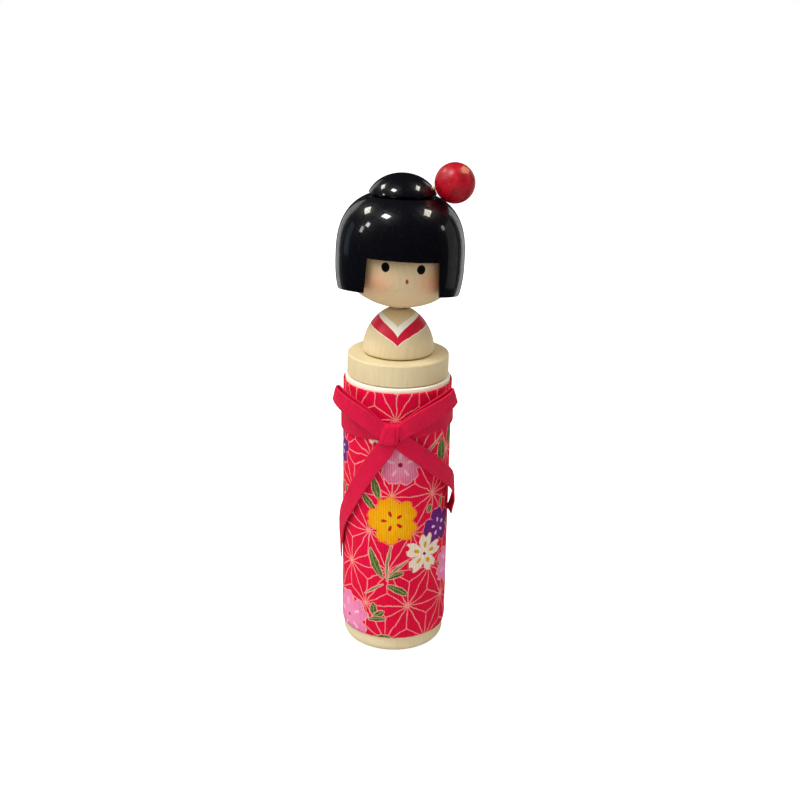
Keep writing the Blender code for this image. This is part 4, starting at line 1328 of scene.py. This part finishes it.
def strip(name, route, sides=None, width_at=lambda share: 1.0, swell=0.0, skew=0.0, twist=0.0):
    """A ribbon along a route, bent round the body.

    width_at scales its width along the way, swell crowns it across, skew slants its far end, and
    twist turns that end's outer edge off the body.
    """
    columns = 10
    rows = []
    flat = []
    gone = 0.0
    last = len(route) - 1
    for index, middle in enumerate(route):
        share = index / last
        ahead = route[min(index + 1, last)] - route[max(index - 1, 0)]
        side = (sides[index] if sides else Vector((-ahead.y, ahead.x, 0.0))).normalized()
        out = ahead.cross(side).normalized()
        side = Matrix.Rotation(twist * max(0.0, share - 0.3) / 0.7, 3, ahead) @ side
        if index:
            gone += (middle - route[index - 1]).length
        rows.append([])
        flat.append([])
        for column in range(columns + 1):
            across = column / columns - 0.5
            crown = swell * (1 - 4 * across * across)
            slant = ahead.normalized() * skew * across * max(0.0, share - 0.8) / 0.2
            ripple = 0.07 * MM * noise.noise(Vector((gone / (4 * MM), across * 2.5, len(name))))
            place = middle + side * RIBBON_WIDTH * across * width_at(share) + slant - out * (crown + ripple)
            rows[-1].append(on_body(place))
            flat[-1].append((across * RIBBON_WIDTH, gone))
    return grid_mesh(name, rows, flat)


def add_strip(name, mesh, material, replaced):
    piece = add_piece(name, mesh, material, "body", replaced)
    thicken(piece, RIBBON_THICKNESS)
    return piece


def make_band(material):
    """The turn round the waist, which dips towards the doll's right side and rises over the lap."""
    columns = 10
    around = 220
    rows = []
    flat = []
    for step in range(around + 1):
        angle = -math.pi + math.tau * step / around
        rows.append([])
        flat.append([])
        for column in range(columns + 1):
            across = column / columns - 0.5
            lap = LAP_RISE * max(0.0, 1 - max(0.0, math.pi - abs(angle) - 0.26) / 0.25)
            out = band_radius + lap + 0.05 * MM * noise.noise(Vector((angle * 5, across * 2, 7.0)))
            x = out * math.sin(angle)
            height = waist + across * RIBBON_WIDTH + WAIST_SLOPE * x
            rows[-1].append(Vector((x, -out * math.cos(angle), height)))
            flat[-1].append((across * RIBBON_WIDTH, angle * band_radius))
    mesh = grid_mesh("waist_band", rows, flat)
    welded = bmesh.new()
    welded.from_mesh(mesh)
    bmesh.ops.remove_doubles(welded, verts=welded.verts, dist=0.02 * MM)
    bmesh.ops.recalc_face_normals(welded, faces=welded.faces)
    welded.to_mesh(mesh)
    welded.free()
    add_strip("waist_band", mesh, material, ["ribbon_band"])


def make_knot(material):
    """The wrap over the crossing: a plump pad of ribbon, creased along its right side."""
    rows = []
    flat = []
    steps = 36
    columns = 30
    length = KNOT_RISE + KNOT_DROP
    for row in range(steps + 1):
        t = row / steps * 2 - 1
        rows.append([])
        flat.append([])
        for column in range(columns + 1):
            u = column / columns * 2 - 1
            around = KNOT_AROUND + KNOT_LEAN / 2 * t + u * KNOT_WIDTH / 2 * (1 - 0.06 * t * t)
            height = waist + (KNOT_RISE - KNOT_DROP) / 2 + t * length / 2
            rim = (1 - abs(u) ** 5) ** 0.5 * (1 - abs(t) ** 5) ** 0.5
            crease = 0.35 * MM * math.exp(-((u - 0.55 + 0.25 * t) / 0.09) ** 2)
            fold = 0.16 * MM * math.exp(-((u + 0.3 - 0.2 * t) / 0.12) ** 2)
            out = knot_radius + KNOT_THICKNESS * (rim * 0.95 - 0.5) - (crease + fold) * rim
            rows[-1].append(on_body(Vector((around, height, out))))
            flat[-1].append((u * KNOT_WIDTH / 2, t * length / 2))
    mesh = grid_mesh("bow_knot", rows, flat)
    shape = bmesh.new()
    shape.from_mesh(mesh)
    border = [edge for edge in shape.edges if edge.is_boundary]
    bmesh.ops.contextual_create(shape, geom=border)
    bmesh.ops.recalc_face_normals(shape, faces=shape.faces)
    shape.to_mesh(mesh)
    shape.free()
    add_piece("bow_knot", mesh, material, "body", ["ribbon_knot"])


def make_loop(name, material, start, end, lift, opening, replaced):
    """A flattened loop: out along the body, round its far fold, and back over itself to the knot.

    lift is how far the fold stands off the body, and opening is the widest gap inside. The way out
    arches up, so that the loop looks straight from the front.
    """
    along = end - start
    side = Vector((-along.y, along.x, 0.0))
    steps = 26
    back = []
    front = []
    for step in range(steps + 1):
        share = step / steps
        widen = math.sin(math.pi / 2 * min(share / 0.85, 1.0)) ** 1.5
        close = 1 - 0.5 * max(0.0, (share - 0.6) / 0.4) ** 2
        spread = (LOOP_PINCH + (opening - LOOP_PINCH) * widen) * close
        arch = LOOP_ARCH * math.sin(math.pi * share)
        under = start + along * share + Vector((0, arch, lift * share ** 1.5))
        back.append(under)
        front.append(under + Vector((0, 0, RIBBON_THICKNESS + spread)))
    rise = (front[-1] - back[-1]) / 2
    centre = (front[-1] + back[-1]) / 2
    fold = []
    turns = 14
    for step in range(1, turns):
        angle = math.pi * step / turns
        fold.append(centre - rise * math.cos(angle) + along.normalized() * opening / 5 * math.sin(angle))
    route = back + fold + front[::-1]

    def gathered(share):
        return 0.8 + 0.2 * min(1.0, min(share, 1 - share) / 0.16)

    mesh = strip(name, route, [side] * len(route), gathered)
    add_strip(name, mesh, material, replaced)


def make_tail(name, material, stops, skew, twist, replaced):
    route = smooth_route(stops, 12)

    def gathered(share):
        return 0.86 + 0.14 * min(1.0, share / 0.12)

    mesh = strip(name, route, None, gathered, 0.12 * MM, skew, twist)
    add_strip(name, mesh, material, replaced)


def make_ribbon():
    material = make_ribbon_weave()
    knot_left = KNOT_AROUND - 3.3 * MM
    knot_right = KNOT_AROUND + 3.3 * MM
    make_band(material)
    make_knot(material)
    left_start = laid(knot_left + 1.6 * MM, -0.6 * MM)
    right_start = laid(knot_right - 1.2 * MM, -0.6 * MM)
    left_end = laid(knot_left - 18.6 * MM, 10.0 * MM)
    right_end = laid(knot_right + 20.3 * MM, 10.4 * MM)
    make_loop("bow_loop_left", material, left_start, left_end, 1.8 * MM, 2.0 * MM, ["ribbon_loop_left"])
    make_loop("bow_loop_right", material, right_start, right_end, 1.2 * MM, 2.0 * MM, ["ribbon_loop_right"])
    left_stops = [
        (-2.6, -4.0, 0.0), (-4.6, -7.4, 0.0), (-10.5, -16.0, 0.0), (-18.4, -29.0, 0.0),
        (-25.3, -40.0, 0.0), (-30.7, -54.0, -0.5),
    ]
    right_stops = [
        (1.0, -3.4, 0.0), (3.9, -5.4, 0.0), (9.8, -10.0, 0.1), (17.1, -16.0, 0.4), (24.0, -22.5, 1.5),
        (27.4, -29.5, 1.3), (27.6, -36.0, -0.2),
    ]
    left_route = [laid(*(Vector(stop) * MM)) for stop in left_stops]
    right_route = [laid(*(Vector(stop) * MM)) for stop in right_stops]
    make_tail("bow_tail_left", material, left_route, 1.5 * MM, 0.0, ["ribbon_tail_left"])
    make_tail("bow_tail_right", material, right_route, 1.0 * MM, RIGHT_TAIL_TWIST, ["ribbon_tail_right"])


# ---------------------------------------------------------------- pegs that stay as packed

def finish_pegs():
    wood = make_bare_wood("peg_wood", colour(232, 206, 160), colour(188, 152, 104), (0.012, 0.01), 0.6)
    for name in ("bust_peg", "neck_peg", "bun_peg", "bead_pin"):
        peg = frame["nodes"][name]
        peg.data.materials.clear()
        peg.data.materials.append(wood)


# ---------------------------------------------------------------- stage, lights and camera

def make_floor():
    rows = [[Vector((x * 3.0, y * 3.0, -0.02 * MM)) for x in (-1, 1)] for y in (-1, 1)]
    floor = bpy.data.objects.new("floor", grid_mesh("floor", rows))
    bpy.context.scene.collection.objects.link(floor)
    material, nodes, shader = new_finish("floor_paper", 0.95, Emission_Strength=1.0)
    place = nodes.own_place()
    tint = nodes.mix(nodes.noise(place, 300.0, 2.0), colour(250, 250, 250), colour(255, 255, 255))
    nodes.feed(shader.inputs["Base Color"], nodes.mix(0.35, tint, (0.3, 0.3, 0.3, 1.0)))
    seen = nodes.add("ShaderNodeLightPath").outputs["Is Camera Ray"]
    glow = nodes.mix(seen, (0.02, 0.02, 0.02, 1.0), (0.9, 0.9, 0.9, 1.0))
    nodes.feed(shader.inputs["Emission Color"], glow)
    floor.data.materials.append(material)
    floor.visible_glossy = False


def add_light(name, direction, distance, size, power, tint, seen_in_gloss, tall=None):
    """An area light that faces the doll's head from a direction."""
    light = bpy.data.lights.new(name, "AREA")
    light.shape = "RECTANGLE"
    light.size = size
    light.size_y = tall or size
    light.energy = power
    light.color = tint
    lamp = bpy.data.objects.new(name, light)
    bpy.context.scene.collection.objects.link(lamp)
    aim = Vector((0, 0, 0.12))
    lamp.location = aim + Vector(direction).normalized() * distance
    lamp.rotation_euler = Vector(direction).to_track_quat("Z", "Y").to_euler()
    lamp.visible_glossy = seen_in_gloss
    lamp.visible_camera = False


def make_lights():
    day = (1.0, 0.99, 0.97)
    warm = (1.0, 0.96, 0.84)
    add_light("soft_left", (-0.75, -0.5, 1.1), 1.0, 0.6, 5.6, day, False)
    add_light("soft_front", (0.1, -1.0, 0.35), 1.2, 0.8, 1.9, day, False)
    add_light("lamp_front", (-0.35, -0.25, 0.9), 0.8, 0.17, 2.2, day, True, 0.12)
    add_light("lamp_back_left", (-0.6, 0.3, 0.73), 0.8, 0.22, 1.2, warm, True, 0.12)
    add_light("lamp_back_right", (0.53, 0.12, 0.84), 0.8, 0.26, 1.4, warm, True, 0.12)
    add_light("lamp_left", (-0.78, -0.2, 0.58), 0.8, 0.1, 0.5, day, True, 0.1)
    add_light("lamp_low_left", (-0.9, -0.12, 0.42), 0.8, 0.09, 0.26, day, True, 0.12)
    add_light("lamp_right", (0.9, 0.04, 0.44), 0.8, 0.09, 0.1, warm, True, 0.09)
    add_light("window_left", (-1.0, 0.35, 0.15), 0.8, 0.2, 0.08, (0.6, 0.8, 1.0), True, 0.4)
    add_light("window_right", (1.0, 0.3, 0.05), 0.8, 0.4, 0.2, day, True, 0.7)
    add_light("rim_left", (-1.0, 1.5, 0.0), 0.8, 0.3, 0.6, day, True, 0.9)
    add_light("rim_right", (1.0, 1.5, 0.0), 0.8, 0.3, 0.6, day, True, 0.9)
    world = bpy.data.worlds.new("white_room")
    bpy.context.scene.world = world
    world.use_nodes = True
    nodes = Nodes(world.node_tree)
    background = world.node_tree.nodes["Background"]
    seen = nodes.add("ShaderNodeLightPath").outputs
    gloss = nodes.mix(seen["Is Glossy Ray"], (0.34, 0.34, 0.34, 1.0), (0.012, 0.012, 0.014, 1.0))
    nodes.feed(background.inputs["Color"], nodes.mix(seen["Is Camera Ray"], gloss, (1.0, 1.0, 1.0, 1.0)))


CAMERA_PLACE = Vector((0.97, -404.2, 233.3)) * MM
CAMERA_DOWN = math.radians(19.26)
CAMERA_ROLL = math.radians(1.15)
CAMERA_LENS = 54.0


def make_camera():
    data = bpy.data.cameras.new("camera")
    data.lens = CAMERA_LENS
    data.sensor_width = 36.0
    data.clip_start = 0.01
    data.clip_end = 20.0
    camera = bpy.data.objects.new("camera", data)
    bpy.context.scene.collection.objects.link(camera)
    look = Euler((math.pi / 2 - CAMERA_DOWN, 0.0, 0.0)).to_matrix().to_4x4()
    camera.matrix_world = Matrix.Translation(CAMERA_PLACE) @ look @ Matrix.Rotation(CAMERA_ROLL, 4, "Z")
    bpy.context.scene.camera = camera
    bpy.context.scene.view_settings.view_transform = "Standard"


# ---------------------------------------------------------------- the whole doll

make_camera()
make_lights()
make_floor()
make_cup()
make_lid()
make_bust()
make_head()
hair_lacquer = make_hair_lacquer()
make_hair_shell(hair_lacquer)
make_bun(hair_lacquer)
make_bead()
make_kimono()
make_frayed_edges()
make_ribbon()
finish_pegs()
